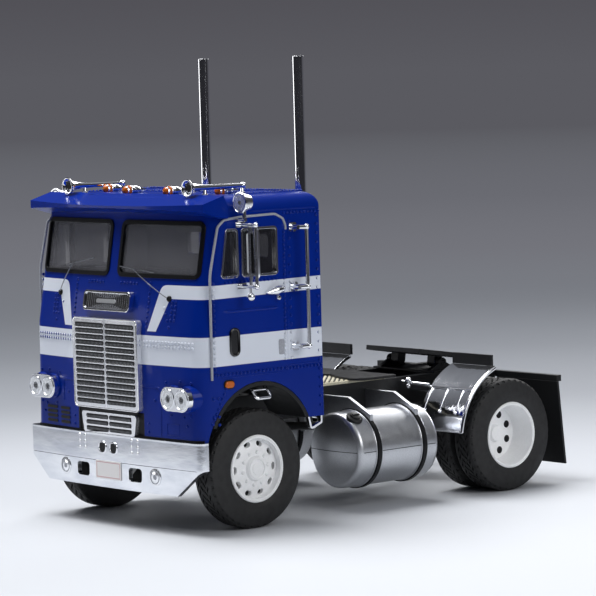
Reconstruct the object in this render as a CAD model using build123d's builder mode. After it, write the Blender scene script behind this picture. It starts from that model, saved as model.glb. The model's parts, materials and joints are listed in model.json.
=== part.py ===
"""Cab-over-engine semi tractor, a 1:43 display model with two axles and dual rear tyres.

Millimetres, +Z up, wheels on Z = 0. The truck faces -Y, and +X is its left side.
The origin lies on the floor under the middle of the model's length and width.
"""
from build123d import *
from math import atan2, cos, degrees, radians, sin
import os

os.makedirs("parts", exist_ok=True)

# ---------------------------------------------------------------- driving dimensions
FRONT_AXLE_Y = -34.5
WHEELBASE = 70.2
TYRE_RADIUS = 12.2
FIT = 0.05                      # running clearance of a shaft in its bore
SEAT_GAP = 0.1                  # gap between curved pieces that lie against each other

# cab
CAB_WIDTH = 56.7
CAB_LENGTH = 33.5
CAB_NOSE = 17.0                 # front axle to the middle of the cab's front
CAB_WALL = 1.1
CAB_CORNER = 4.0
CAB_BOTTOM_Z = 19.0
CAB_BELT_Z = 41.0
CAB_EAVES_Z = 64.4
ROOF_Z = 67.8
ROOF_ROUND = 3.0
CAB_RAKE = 4.2                  # how far the front leans back between belt and eaves
LOWER_BOW = 1.5                 # depth of the front's curve, at the bottom and above the belt
UPPER_BOW = 2.1
CAB_SILL_Z = 21.7               # underside behind the wheel arch
FLOOR_THICKNESS = 2.2
MOUTH_HALF = 11.0               # sunk field that the lower grille stands in
MOUTH_TOP_Z = 24.1
MOUTH_DEPTH = 0.6

# wheel arch
ARCH_BACK = -0.3                # arch centre, measured back from the axle
ARCH_Z = 16.4
ARCH_RADIUS = 13.8
LINER = 0.8
LINER_INNER_X = 17.0

# windscreen and side windows
PILLAR = 2.8
SCREEN_EDGE = 2.35              # cab's side to the outer pane's gasket
SCREEN_LOW_Z = 51.4
SCREEN_HIGH_Z = 62.9
SCREEN_ROUND = 1.6
GASKET = 0.85
GASKET_PROUD = 0.25
GLASS = 0.5
GLASS_SET = 0.35
WINDOW_LOW_Z = 51.4
WINDOW_HIGH_Z = 61.3
WINDOW_FRAME = 0.5
WINDOW_ROUND = 0.9
REAR_PANE_INNER_X = 7.6         # two panes in the cab's rear wall
REAR_PANE_OUTER_X = 13.3
REAR_PANE_LOW_Z = 53.8
REAR_PANE_HIGH_Z = 58.5
REAR_PANE_ROUND = 0.8

# chassis
FRAME_HALF = 10.0               # outer face of a rail
RAIL_WIDTH = 1.7
RAIL_TOP_Z = 25.0
RAIL_HEIGHT = 6.0
FRAME_FRONT = 15.4              # front axle to the rails' front end
FRAME_REAR = 14.2               # rear axle to the rails' rear end
CROSS_THICKNESS = 2.4
CROSS_HEIGHT = 4.4
BOSS_HOLE_RADIUS = 0.9
BOSS_HOLE_DEPTH = 3.2

# axles and wheels
PIN_RADIUS = 0.8
BEAM_SIZE = 3.0
BEAM_SET = 1.2                  # beam's end, in from the tyre
FRONT_TRACK_OUT = 26.4          # outer face of a front tyre
REAR_TRACK_OUT = 29.1
TYRE_WIDTH = 6.3
DUAL_GAP = 0.7
FRONT_RIM_RADIUS = 6.9
REAR_RIM_RADIUS = 7.2
RIM_WALL = 0.7
RIM_SET = 0.2                   # rim edge, in from the tyre's outer face
HOUSING_RADIUS = 2.2
HOUSING_SET = 0.6               # axle housing's end, in from the inner tyre
DIFFERENTIAL_RADIUS = 4.6
SPRING_X = 9.1
SPRING_WIDTH = 1.8
SPRING_LEAF = 1.3
SPRING_HALF_SPAN = 11.0

# engine and exhaust
ENGINE_HALF_WIDTH = 7.4
ENGINE_HALF_LENGTH = 11.8
ENGINE_BOTTOM_Z = 14.6
ENGINE_TOP_Z = 29.4
STACK_X = 15.5
STACK_BACK = 23.0               # behind the front axle
STACK_RADIUS = 1.25
STACK_TOP_Z = 95.4
MUFFLER_RADIUS = 2.3
MUFFLER_LOW_Z = 31.0
MUFFLER_HIGH_Z = 58.0
STACK_BEAM_HEIGHT = 1.6

# fuel tanks
TANK_X = 19.95
TANK_Z = 12.6
TANK_RADIUS = 8.05
TANK_FRONT = 26.5               # behind the front axle
TANK_CLEAR = 4.3                # tank's rear end to the front of the fender's circle
TANK_ROUND = 1.2
STRAP = 0.45
STRAP_WIDTH = 1.0
BRACKET_TOP_Z = 23.4
BRACKET_THICKNESS = 0.8

# deck, fenders and mudflaps
DECK_FRONT = 26.8               # behind the front axle
DECK_LENGTH = 24.0
DECK_THICKNESS = 0.6
FENDER_RADIUS = 16.4
FENDER_SHEET = 0.7
FENDER_INNER_X = 16.6
FENDER_OUTER_X = 29.8
FENDER_LOW_ANGLE = 7.0          # above the horizontal, seen from the rear axle
FENDER_HIGH_ANGLE = 70.5
BOARD_HEIGHT = 2.4
FLAP_INNER_X = 10.4
FLAP_OUTER_X = 29.2
FLAP_TOP_Z = 22.6
FLAP_BOTTOM_Z = 4.2
FLAP_LEAN = 2.0
FLAP_SHEET = 0.6
HANGER_HEIGHT = 1.4

# fifth wheel
COUPLING_BACK = -0.7            # pivot, behind the rear axle
COUPLING_Z = 26.9
COUPLING_TILT = 9.0
COUPLING_HALF_WIDTH = 11.0
COUPLING_FRONT = 7.6            # pivot to the plate's front edge
COUPLING_REAR = 9.9
COUPLING_TOP = 2.5              # plate's top face above the pivot
COUPLING_PLATE = 1.1
KINGPIN_RADIUS = 1.25
THROAT_HALF = 0.6
COUPLING_PIN_RADIUS = 0.5
COUPLING_EAR_RADIUS = 1.15
COUPLING_EAR_X = 8.0
COUPLING_EAR = 1.2

# ---------------------------------------------------------------- worked-out places
AXLE_Z = TYRE_RADIUS
REAR_AXLE_Y = FRONT_AXLE_Y + WHEELBASE
CAB_HALF = CAB_WIDTH / 2
SCREEN_OUTER_X = CAB_HALF - SCREEN_EDGE
NOSE_Y = FRONT_AXLE_Y - CAB_NOSE
CAB_REAR_Y = NOSE_Y + CAB_LENGTH
TANK_LENGTH = WHEELBASE - FENDER_RADIUS - TANK_CLEAR - TANK_FRONT
ARCH_Y = FRONT_AXLE_Y + ARCH_BACK
FLOOR_LOW_Z = ARCH_Z + ARCH_RADIUS
FLOOR_Z = FLOOR_LOW_Z + FLOOR_THICKNESS
RAIL_BOTTOM_Z = RAIL_TOP_Z - RAIL_HEIGHT
RAIL_FRONT_Y = FRONT_AXLE_Y - FRAME_FRONT
RAIL_REAR_Y = REAR_AXLE_Y + FRAME_REAR
BEYOND = CAB_LENGTH             # a cut this deep passes right through the cab's wall

# height, how far the front has leaned back, depth of its curve
CAB_SECTIONS = (
    (CAB_BOTTOM_Z, 0.0, LOWER_BOW),
    (CAB_BELT_Z, 0.0, UPPER_BOW),
    (CAB_EAVES_Z, CAB_RAKE, UPPER_BOW),
)


def cab_plan(z, lean, bow, inset):
    """Plan of the cab at one height: straight sides and back, bowed front, round corners."""
    half = CAB_HALF - inset
    back = CAB_REAR_Y - inset
    nose = NOSE_Y + lean + inset
    with BuildSketch(Plane.XY.offset(z)) as plan:
        with BuildLine():
            Polyline((-half, nose + bow), (-half, back), (half, back), (half, nose + bow))
            ThreePointArc((half, nose + bow), (0, nose), (-half, nose + bow))
        make_face()
        fillet(plan.vertices().group_by(Axis.Y)[0], radius=CAB_CORNER - inset)
    return plan.sketch


def cab_volume(inset, mode=Mode.ADD):
    """The cab below the eaves, drawn in by inset, as a loft through its plans."""
    plans = [cab_plan(z, lean, bow, inset) for z, lean, bow in CAB_SECTIONS]
    loft(plans, ruled=True, mode=mode)


def side_profile(points, radius):
    """A closed outline on the YZ plane, its corners rounded."""
    with BuildSketch(Plane.YZ) as outline:
        with BuildLine():
            Polyline(*points, close=True)
        make_face()
        fillet(outline.vertices(), radius=radius)
    return outline.sketch


def front_profile(points, radius):
    """A closed outline on the XZ plane, its corners rounded."""
    with BuildSketch(Plane.XZ) as outline:
        with BuildLine():
            Polyline(*points, close=True)
        make_face()
        fillet(outline.vertices(), radius=radius)
    return outline.sketch


def rear_panes(y):
    """Outlines of the two rear panes, on the plane across the cab at y."""
    width = REAR_PANE_OUTER_X - REAR_PANE_INNER_X
    middle_x = (REAR_PANE_OUTER_X + REAR_PANE_INNER_X) / 2
    middle_z = (REAR_PANE_HIGH_Z + REAR_PANE_LOW_Z) / 2
    with BuildSketch(Plane.XZ.offset(-y)) as outline:
        with Locations((-middle_x, middle_z), (middle_x, middle_z)):
            RectangleRounded(width, REAR_PANE_HIGH_Z - REAR_PANE_LOW_Z, REAR_PANE_ROUND)
    return outline.sketch


def axle_plane(y):
    """Plane through an axle's line, X to the left and Y up, for profiles that are turned."""
    return Plane(origin=(0, y, AXLE_Z), x_dir=(1, 0, 0), z_dir=(0, -1, 0))


def axle_axis(y):
    """The line that an axle turns about."""
    return Axis((0, y, AXLE_Z), (1, 0, 0))


def rod(start, end, radius):
    """A round bar from one point to another."""
    run = Vector(*end) - Vector(*start)
    with BuildSketch(Plane(origin=start, z_dir=run)) as end_face:
        Circle(radius)
    extrude(end_face.sketch, amount=run.length)


# ---------------------------------------------------------------- forms of the cab
def roof_cap(inset):
    """The cab's top above the eaves, with its upper edges rounded."""
    top = extrude(cab_plan(CAB_EAVES_Z, CAB_RAKE, UPPER_BOW, inset), amount=ROOF_Z - CAB_EAVES_Z - inset)
    fillet(top.edges().group_by(Axis.Z)[-1], radius=ROOF_ROUND - inset)


with BuildPart() as cab_form:
    roof_cap(0)
    cab_volume(0)

with BuildPart() as cab_void:
    roof_cap(CAB_WALL)
    cab_volume(CAB_WALL)

# windscreen panes: outline of a gasket's outer edge on the left side
SCREEN_POINTS = (
    (PILLAR / 2, SCREEN_LOW_Z),
    (PILLAR / 2, SCREEN_HIGH_Z),
    (SCREEN_OUTER_X, SCREEN_HIGH_Z),
    (SCREEN_OUTER_X, SCREEN_LOW_Z),
)
# side windows, front and main: front foot, front top, rear edge, all behind the front axle
SIDE_WINDOWS = ((-10.2, -8.6, -5.3), (-4.6, -4.6, 5.0))


def window_points(foot, top, rear):
    """Outline of one side window's frame: a slanted front edge and an upright rear one."""
    return (
        (FRONT_AXLE_Y + foot, WINDOW_LOW_Z),
        (FRONT_AXLE_Y + top, WINDOW_HIGH_Z),
        (FRONT_AXLE_Y + rear, WINDOW_HIGH_Z),
        (FRONT_AXLE_Y + rear, WINDOW_LOW_Z),
    )


with BuildPart() as screen_holes:
    with BuildSketch(Plane.XZ.offset(-NOSE_Y - CAB_NOSE / 2)) as hole:
        with BuildLine():
            Polyline(*SCREEN_POINTS, close=True)
        make_face()
        fillet(hole.vertices(), radius=SCREEN_ROUND)
    extrude(amount=CAB_NOSE)
    mirror(about=Plane.YZ)

with BuildPart() as screen_panes:
    with BuildSketch(Plane.XZ.offset(-NOSE_Y - CAB_NOSE / 2)) as pane:
        with BuildLine():
            Polyline(*SCREEN_POINTS, close=True)
        make_face()
        fillet(pane.vertices(), radius=SCREEN_ROUND)
        offset(amount=-GASKET, mode=Mode.REPLACE)
    extrude(amount=CAB_NOSE)
    mirror(about=Plane.YZ)

# ---------------------------------------------------------------- cab shell
with BuildPart() as cab_shell:
    add(cab_form.part)
    add(cab_void.part, mode=Mode.SUBTRACT)
    add(screen_holes.part, mode=Mode.SUBTRACT)
    with BuildSketch(Plane.YZ):
        with Locations((ARCH_Y, ARCH_Z)):
            Circle(ARCH_RADIUS)
    extrude(amount=CAB_WIDTH, both=True, mode=Mode.SUBTRACT)
    for foot, top, rear in SIDE_WINDOWS:
        hole = side_profile(window_points(foot, top, rear), WINDOW_ROUND)
        extrude(hole, amount=CAB_WIDTH, both=True, mode=Mode.SUBTRACT)
    # the sill behind the arch is higher than the front panel's lower edge
    with BuildSketch(Plane.YZ):
        with Locations((FRONT_AXLE_Y, CAB_BOTTOM_Z)):
            Rectangle(CAB_LENGTH, CAB_SILL_Z - CAB_BOTTOM_Z, align=(Align.MIN, Align.MIN))
    extrude(amount=CAB_WIDTH, both=True, mode=Mode.SUBTRACT)
    with BuildSketch(Plane.XZ.offset(-NOSE_Y - MOUTH_DEPTH)):
        with Locations((0, CAB_BOTTOM_Z)):
            Rectangle(MOUTH_HALF * 2, MOUTH_TOP_Z - CAB_BOTTOM_Z, align=(Align.CENTER, Align.MIN))
    extrude(amount=CAB_WALL, mode=Mode.SUBTRACT)
    # tunnel through the rear wall, over the frame
    with BuildSketch(Plane.XZ.offset(-CAB_REAR_Y)):
        with Locations((0, CAB_BOTTOM_Z)):
            Rectangle(LINER_INNER_X * 2, FLOOR_LOW_Z - CAB_BOTTOM_Z, align=(Align.CENTER, Align.MIN))
    extrude(amount=CAB_WALL * 2, both=True, mode=Mode.SUBTRACT)
    extrude(rear_panes(CAB_REAR_Y), amount=CAB_WALL, mode=Mode.SUBTRACT)
cab_shell.part.label = "cab_shell"
export_step(cab_shell.part, "parts/cab_shell.step")

# ---------------------------------------------------------------- cab inside
DASH_DEPTH = 8.0
DASH_Z = 46.5
MOUNT_POST = 1.6
FRONT_MOUNT_SET = 3.4           # mount's middle, in from the cab's front and rear
REAR_MOUNT_SET = 2.7
CAB_MOUNTS = (NOSE_Y + FRONT_MOUNT_SET, CAB_REAR_Y - REAR_MOUNT_SET)

with BuildPart() as cab_interior:
    with Locations((0, FRONT_AXLE_Y, FLOOR_LOW_Z)):
        Box(CAB_WIDTH, CAB_LENGTH * 2, FLOOR_THICKNESS, align=(Align.CENTER, Align.CENTER, Align.MIN))
    with Locations((0, NOSE_Y, FLOOR_Z)):
        Box(CAB_WIDTH, DASH_DEPTH, DASH_Z - FLOOR_Z, align=(Align.CENTER, Align.MIN, Align.MIN))
    add(cab_void.part, mode=Mode.INTERSECT)
    for mount_y in CAB_MOUNTS:
        for side in (-1, 1):
            with Locations((side * (FRAME_HALF - RAIL_WIDTH / 2), mount_y, RAIL_TOP_Z)):
                Box(MOUNT_POST, MOUNT_POST, FLOOR_LOW_Z - RAIL_TOP_Z,
                    align=(Align.CENTER, Align.CENTER, Align.MIN))
cab_interior.part.label = "cab_interior"
export_step(cab_interior.part, "parts/cab_interior.step")

SEAT_X = 14.0
SEAT_WIDTH = 13.0
SEAT_FRONT = -1.0
SEAT_DEPTH = 10.0
SEAT_HEIGHT = 6.0
SEAT_BACK = 2.6
SEAT_TOP_Z = 51.0
SEAT_ROUND = 0.9

with BuildPart() as seats:
    seat_side = side_profile((
        (FRONT_AXLE_Y + SEAT_FRONT, FLOOR_Z),
        (FRONT_AXLE_Y + SEAT_FRONT, FLOOR_Z + SEAT_HEIGHT),
        (FRONT_AXLE_Y + SEAT_FRONT + SEAT_DEPTH, FLOOR_Z + SEAT_HEIGHT),
        (FRONT_AXLE_Y + SEAT_FRONT + SEAT_DEPTH, SEAT_TOP_Z),
        (FRONT_AXLE_Y + SEAT_FRONT + SEAT_DEPTH + SEAT_BACK, SEAT_TOP_Z),
        (FRONT_AXLE_Y + SEAT_FRONT + SEAT_DEPTH + SEAT_BACK, FLOOR_Z),
    ), SEAT_ROUND)
    extrude(seat_side.moved(Location((SEAT_X, 0, 0))), amount=SEAT_WIDTH / 2, both=True)
    mirror(about=Plane.YZ)
seats.part.label = "seats"
export_step(seats.part, "parts/seats.step")

STEERING_RADIUS = 4.2
STEERING_RIM = 0.4
STEERING_BACK = -4.6
STEERING_Z = 46.2
STEERING_TURN = 60.0            # the column leans this far from upright
COLUMN_RADIUS = 0.6
COLUMN_LENGTH = 9.0
steering_plane = Plane(
    origin=(SEAT_X, FRONT_AXLE_Y + STEERING_BACK, STEERING_Z),
    x_dir=(1, 0, 0),
    z_dir=(0, sin(radians(STEERING_TURN)), cos(radians(STEERING_TURN))),
)

with BuildPart() as steering_wheel:
    with BuildSketch(steering_plane):
        Circle(STEERING_RADIUS)
        Circle(STEERING_RADIUS - STEERING_RIM * 2, mode=Mode.SUBTRACT)
        for angle in (90, 210, 330):
            with Locations(Rotation(0, 0, angle)):
                Rectangle(STEERING_RADIUS - STEERING_RIM, STEERING_RIM * 2, align=(Align.MIN, Align.CENTER))
        Circle(COLUMN_RADIUS * 2)
    extrude(amount=STEERING_RIM, both=True)
    with BuildSketch(steering_plane):
        Circle(COLUMN_RADIUS)
    extrude(amount=-COLUMN_LENGTH)
    add(cab_interior.part, mode=Mode.SUBTRACT)
    keep_wheel = steering_wheel.solids().sort_by(SortBy.VOLUME)[-1]
    add(keep_wheel, mode=Mode.REPLACE)
steering_wheel.part.label = "steering_wheel"
export_step(steering_wheel.part, "parts/steering_wheel.step")

# ---------------------------------------------------------------- glass and its frames
with BuildPart() as windscreen_gaskets:
    cab_volume(-GASKET_PROUD)
    add(cab_void.part, mode=Mode.SUBTRACT)
    add(screen_holes.part, mode=Mode.INTERSECT)
    add(screen_panes.part, mode=Mode.SUBTRACT)
windscreen_gaskets.part.label = "windscreen_gaskets"
export_step(windscreen_gaskets.part, "parts/windscreen_gaskets.step")

with BuildPart() as glass_back:
    cab_volume(GLASS_SET + GLASS)

with BuildPart() as windscreen_glass:
    cab_volume(GLASS_SET)
    add(glass_back.part, mode=Mode.SUBTRACT)
    add(screen_panes.part, mode=Mode.INTERSECT)
windscreen_glass.part.label = "windscreen_glass"
export_step(windscreen_glass.part, "parts/windscreen_glass.step")

with BuildPart() as side_window_frames:
    for foot, top, rear in SIDE_WINDOWS:
        with BuildSketch(Plane.YZ.offset(CAB_HALF - CAB_WALL)) as ring:
            with BuildLine():
                Polyline(*window_points(foot, top, rear), close=True)
            make_face()
            fillet(ring.vertices(), radius=WINDOW_ROUND)
            offset(amount=-WINDOW_FRAME, mode=Mode.SUBTRACT)
        extrude(amount=CAB_WALL + GASKET_PROUD)
    mirror(about=Plane.YZ)
side_window_frames.part.label = "side_window_frames"
export_step(side_window_frames.part, "parts/side_window_frames.step")

with BuildPart() as side_glass:
    for foot, top, rear in SIDE_WINDOWS:
        with BuildSketch(Plane.YZ.offset(CAB_HALF - GLASS_SET - GLASS)) as pane:
            with BuildLine():
                Polyline(*window_points(foot, top, rear), close=True)
            make_face()
            fillet(pane.vertices(), radius=WINDOW_ROUND)
            offset(amount=-WINDOW_FRAME, mode=Mode.REPLACE)
        extrude(amount=GLASS)
    mirror(about=Plane.YZ)
side_glass.part.label = "side_glass"
export_step(side_glass.part, "parts/side_glass.step")

with BuildPart() as rear_glass:
    extrude(rear_panes(CAB_REAR_Y - GLASS_SET), amount=GLASS)
rear_glass.part.label = "rear_glass"
export_step(rear_glass.part, "parts/rear_glass.step")

# ---------------------------------------------------------------- sun visor
VISOR_LIP_Z = 65.4
VISOR_LIP = 0.45
VISOR_REACH = 3.7               # ahead of the cab's front at the eaves
VISOR_SIDE = 0.5
VISOR_TOP_Z = 68.0
VISOR_CREST = 3.8               # from the cab's front at the eaves back to the crest
VISOR_END = 4.8                 # to the rear edge of its ends
VISOR_SHOULDER_Z = 65.7
VISOR_WING = 3.4                # to the lowest point of its ends
VISOR_WING_Z = 63.4

with BuildPart() as sun_visor:
    with BuildSketch(Plane.XY.offset(VISOR_WING_Z)) as plan:
        half = CAB_HALF + VISOR_SIDE
        eaves_y = NOSE_Y + CAB_RAKE
        with BuildLine():
            Polyline((-half, eaves_y - VISOR_REACH + UPPER_BOW), (-half, eaves_y + VISOR_END),
                     (half, eaves_y + VISOR_END), (half, eaves_y - VISOR_REACH + UPPER_BOW))
            ThreePointArc((half, eaves_y - VISOR_REACH + UPPER_BOW), (0, eaves_y - VISOR_REACH),
                          (-half, eaves_y - VISOR_REACH + UPPER_BOW))
        make_face()
    extrude(amount=VISOR_TOP_Z - VISOR_WING_Z)
    # the ends come down beside the cab as far as the doors' drip rails
    with BuildSketch(Plane.YZ):
        with BuildLine():
            Polyline((eaves_y - VISOR_REACH, VISOR_LIP_Z), (eaves_y - VISOR_REACH, VISOR_LIP_Z + VISOR_LIP),
                     (eaves_y + VISOR_CREST, VISOR_TOP_Z), (eaves_y + VISOR_END, VISOR_SHOULDER_Z),
                     (eaves_y + VISOR_END, VISOR_WING_Z), (eaves_y + VISOR_WING, VISOR_WING_Z), close=True)
        make_face()
    extrude(amount=CAB_WIDTH, both=True, mode=Mode.INTERSECT)
    add(cab_form.part, mode=Mode.SUBTRACT)
sun_visor.part.label = "sun_visor"
export_step(sun_visor.part, "parts/sun_visor.step")

# ---------------------------------------------------------------- front end
GRILLE_HALF = 10.8
GRILLE_LOW_Z = 24.2
GRILLE_HIGH_Z = 42.9
GRILLE_PROUD = 0.9
GRILLE_BORDER = 1.0
GRILLE_BAR = 0.45               # half width of the upright in the middle
GRILLE_SLOTS = 14
GRILLE_SLOT_SHARE = 0.64        # of a slot's pitch
GRILLE_DEPTH = 0.6
GRILLE_ROUND = 1.0

with BuildPart() as grille_upper:
    with BuildSketch(Plane.XZ.offset(-NOSE_Y - CAB_WALL)) as face:
        with Locations((0, (GRILLE_LOW_Z + GRILLE_HIGH_Z) / 2)):
            Rectangle(GRILLE_HALF * 2, GRILLE_HIGH_Z - GRILLE_LOW_Z)
        fillet(face.vertices().group_by(Axis.Z)[-1], radius=GRILLE_ROUND)
    extrude(amount=CAB_WALL + GRILLE_PROUD)
    pitch = (GRILLE_HIGH_Z - GRILLE_LOW_Z - GRILLE_BORDER * 2) / GRILLE_SLOTS
    slot_width = GRILLE_HALF - GRILLE_BORDER - GRILLE_BAR
    with BuildSketch(Plane.XZ.offset(-NOSE_Y + GRILLE_PROUD - GRILLE_DEPTH)):
        with Locations((0, (GRILLE_LOW_Z + GRILLE_HIGH_Z) / 2)):
            with GridLocations(slot_width + GRILLE_BAR * 2, pitch, 2, GRILLE_SLOTS):
                Rectangle(slot_width, pitch * GRILLE_SLOT_SHARE)
    extrude(amount=GRILLE_DEPTH, mode=Mode.SUBTRACT)
    add(cab_form.part, mode=Mode.SUBTRACT)
grille_upper.part.label = "grille_upper"
export_step(grille_upper.part, "parts/grille_upper.step")

LOWER_GRILLE_TOP = 9.2          # half widths
LOWER_GRILLE_FOOT = 8.4
LOWER_GRILLE_LOW_Z = CAB_BOTTOM_Z
LOWER_GRILLE_HIGH_Z = 23.4
LOWER_GRILLE_PROUD = 0.4
LOWER_GRILLE_BORDER = 0.6
LOWER_SLOT_ROWS = 3

with BuildPart() as grille_lower:
    lower_face = front_profile((
        (-LOWER_GRILLE_FOOT, LOWER_GRILLE_LOW_Z), (-LOWER_GRILLE_TOP, LOWER_GRILLE_HIGH_Z),
        (LOWER_GRILLE_TOP, LOWER_GRILLE_HIGH_Z), (LOWER_GRILLE_FOOT, LOWER_GRILLE_LOW_Z),
    ), LOWER_GRILLE_BORDER)
    extrude(lower_face, amount=-NOSE_Y + LOWER_GRILLE_PROUD)
    with BuildSketch(Plane.XZ.offset(-NOSE_Y - MOUTH_DEPTH)):
        with Locations((0, CAB_BOTTOM_Z)):
            Rectangle(MOUTH_HALF * 2, MOUTH_TOP_Z - CAB_BOTTOM_Z, align=(Align.CENTER, Align.MIN))
    extrude(amount=CAB_WALL * 2, mode=Mode.INTERSECT)
    slot_pitch = (LOWER_GRILLE_HIGH_Z - LOWER_GRILLE_LOW_Z - LOWER_GRILLE_BORDER) / LOWER_SLOT_ROWS
    with BuildSketch(Plane.XZ.offset(-NOSE_Y)):
        with Locations((0, (LOWER_GRILLE_LOW_Z + LOWER_GRILLE_HIGH_Z) / 2)):
            with GridLocations(LOWER_GRILLE_FOOT - LOWER_GRILLE_BORDER, slot_pitch, 2, LOWER_SLOT_ROWS):
                Rectangle(LOWER_GRILLE_FOOT - LOWER_GRILLE_BORDER * 2, slot_pitch * GRILLE_SLOT_SHARE)
    extrude(amount=LOWER_GRILLE_PROUD, mode=Mode.SUBTRACT)
    add(cab_shell.part, mode=Mode.SUBTRACT)
grille_lower.part.label = "grille_lower"
export_step(grille_lower.part, "parts/grille_lower.step")

PANEL_TOP = 7.8                 # half widths
PANEL_FOOT = 7.7
PANEL_LOW_Z = 44.4
PANEL_HIGH_Z = 48.5
PANEL_PROUD = 1.3
PANEL_ROUND = 1.0
PANEL_FRAME = 0.5
PANEL_POCKET = 0.4

with BuildPart() as panel_form:
    cab_volume(-PANEL_PROUD)

with BuildPart() as panel_pocket:
    with BuildSketch(Plane.XZ.offset(-NOSE_Y - CAB_NOSE / 2)) as field:
        with BuildLine():
            Polyline((-PANEL_FOOT, PANEL_LOW_Z), (-PANEL_TOP, PANEL_HIGH_Z),
                     (PANEL_TOP, PANEL_HIGH_Z), (PANEL_FOOT, PANEL_LOW_Z), close=True)
        make_face()
        fillet(field.vertices(), radius=PANEL_ROUND)
        offset(amount=-PANEL_FRAME, mode=Mode.REPLACE)
    extrude(amount=CAB_NOSE)
    cab_volume(PANEL_POCKET - PANEL_PROUD, mode=Mode.SUBTRACT)

with BuildPart() as nameplate_panel:
    with BuildSketch(Plane.XZ.offset(-NOSE_Y - CAB_NOSE / 2)) as face:
        with BuildLine():
            Polyline((-PANEL_FOOT, PANEL_LOW_Z), (-PANEL_TOP, PANEL_HIGH_Z),
                     (PANEL_TOP, PANEL_HIGH_Z), (PANEL_FOOT, PANEL_LOW_Z), close=True)
        make_face()
        fillet(face.vertices(), radius=PANEL_ROUND)
    extrude(amount=CAB_NOSE)
    add(panel_form.part, mode=Mode.INTERSECT)
    add(cab_form.part, mode=Mode.SUBTRACT)
    add(panel_pocket.part, mode=Mode.SUBTRACT)
nameplate_panel.part.label = "nameplate_panel"
export_step(nameplate_panel.part, "parts/nameplate_panel.step")

BUMPER_OUT = 0.15               # each end, beyond the cab's side
BUMPER_HALF = CAB_HALF + BUMPER_OUT
BUMPER_FOOT_SET = 7.0           # how far its lower edge is cut back at each end
BUMPER_LOW_Z = 8.0
BUMPER_CREASE_Z = 13.4
BUMPER_TOP_Z = CAB_BOTTOM_Z
BUMPER_FOOT_HALF = BUMPER_HALF - BUMPER_FOOT_SET
BUMPER_PROUD = 0.8              # ahead of the cab's front
BUMPER_BOW = 1.2
BUMPER_SHEET = 1.0
BUMPER_CORNER = 1.3
BUMPER_RETURN = 3.4
TOW_X = 8.7
TOW_Z = 11.3
TOW_WIDTH = 4.2
TOW_HEIGHT = 2.8
TOW_ROUND = 0.8
FOG_X = 15.0
FOG_Z = 11.4
FOG_RADIUS = 1.75
FOG_PROUD = 0.3
ARM_LENGTH = 6.0
ARM_HEIGHT = 1.4
bumper_y = NOSE_Y - BUMPER_PROUD


def bumper_plan(inset):
    """Plan of the bumper's outer face, drawn in by inset, with round corners."""
    half = BUMPER_HALF - inset
    nose = bumper_y + inset
    with BuildSketch(Plane.XY.offset(BUMPER_LOW_Z)) as plan:
        with BuildLine():
            Polyline((-half, nose + BUMPER_BOW), (-half, bumper_y + BUMPER_RETURN),
                     (half, bumper_y + BUMPER_RETURN), (half, nose + BUMPER_BOW))
            ThreePointArc((half, nose + BUMPER_BOW), (0, nose), (-half, nose + BUMPER_BOW))
        make_face()
        fillet(plan.vertices().group_by(Axis.Y)[0], radius=BUMPER_CORNER - inset)
    return plan.sketch


with BuildPart() as bumper:
    extrude(bumper_plan(0), amount=BUMPER_TOP_Z - BUMPER_LOW_Z)
    extrude(bumper_plan(BUMPER_SHEET), amount=BUMPER_TOP_Z - BUMPER_LOW_Z, mode=Mode.SUBTRACT)
    with BuildSketch(Plane.XZ):
        with BuildLine():
            Polyline((-BUMPER_HALF, BUMPER_TOP_Z), (BUMPER_HALF, BUMPER_TOP_Z),
                     (BUMPER_HALF, BUMPER_CREASE_Z), (BUMPER_FOOT_HALF, BUMPER_LOW_Z),
                     (-BUMPER_FOOT_HALF, BUMPER_LOW_Z), (-BUMPER_HALF, BUMPER_CREASE_Z), close=True)
        make_face()
    extrude(amount=-bumper_y * 2, mode=Mode.INTERSECT)
    with BuildSketch(Plane.XZ.offset(-bumper_y - BUMPER_RETURN)):
        with Locations((-TOW_X, TOW_Z), (TOW_X, TOW_Z)):
            RectangleRounded(TOW_WIDTH, TOW_HEIGHT, TOW_ROUND)
        with Locations((-FOG_X, FOG_Z), (FOG_X, FOG_Z)):
            Circle(FOG_RADIUS)
    extrude(amount=BUMPER_RETURN * 2, mode=Mode.SUBTRACT)
    # two arms carry the bumper under the frame rails
    for side in (-1, 1):
        with Locations((side * (FRAME_HALF - RAIL_WIDTH / 2), bumper_y + BUMPER_SHEET / 2, RAIL_BOTTOM_Z)):
            Box(RAIL_WIDTH, ARM_LENGTH, ARM_HEIGHT,
                align=(Align.CENTER, Align.MIN, Align.MAX))
bumper.part.label = "bumper"
export_step(bumper.part, "parts/bumper.step")

with BuildPart() as fog_lamps:
    with BuildSketch(Plane.XZ.offset(-bumper_y + FOG_PROUD)):
        with Locations((-FOG_X, FOG_Z), (FOG_X, FOG_Z)):
            Circle(FOG_RADIUS)
    extrude(amount=-(BUMPER_SHEET + FOG_PROUD + BUMPER_BOW / 2))
fog_lamps.part.label = "fog_lamps"
export_step(fog_lamps.part, "parts/fog_lamps.step")

HEADLAMP_SET = 6.05             # cab's side to the middle of a pair
HEADLAMP_X = CAB_HALF - HEADLAMP_SET
HEADLAMP_Z = 27.65
HEADLAMP_PITCH = 4.25           # between the two lamps of a pair
HEADLAMP_RADIUS = 2.45
HEADLAMP_PROUD = 0.8            # ahead of the middle of the cab's front

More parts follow.
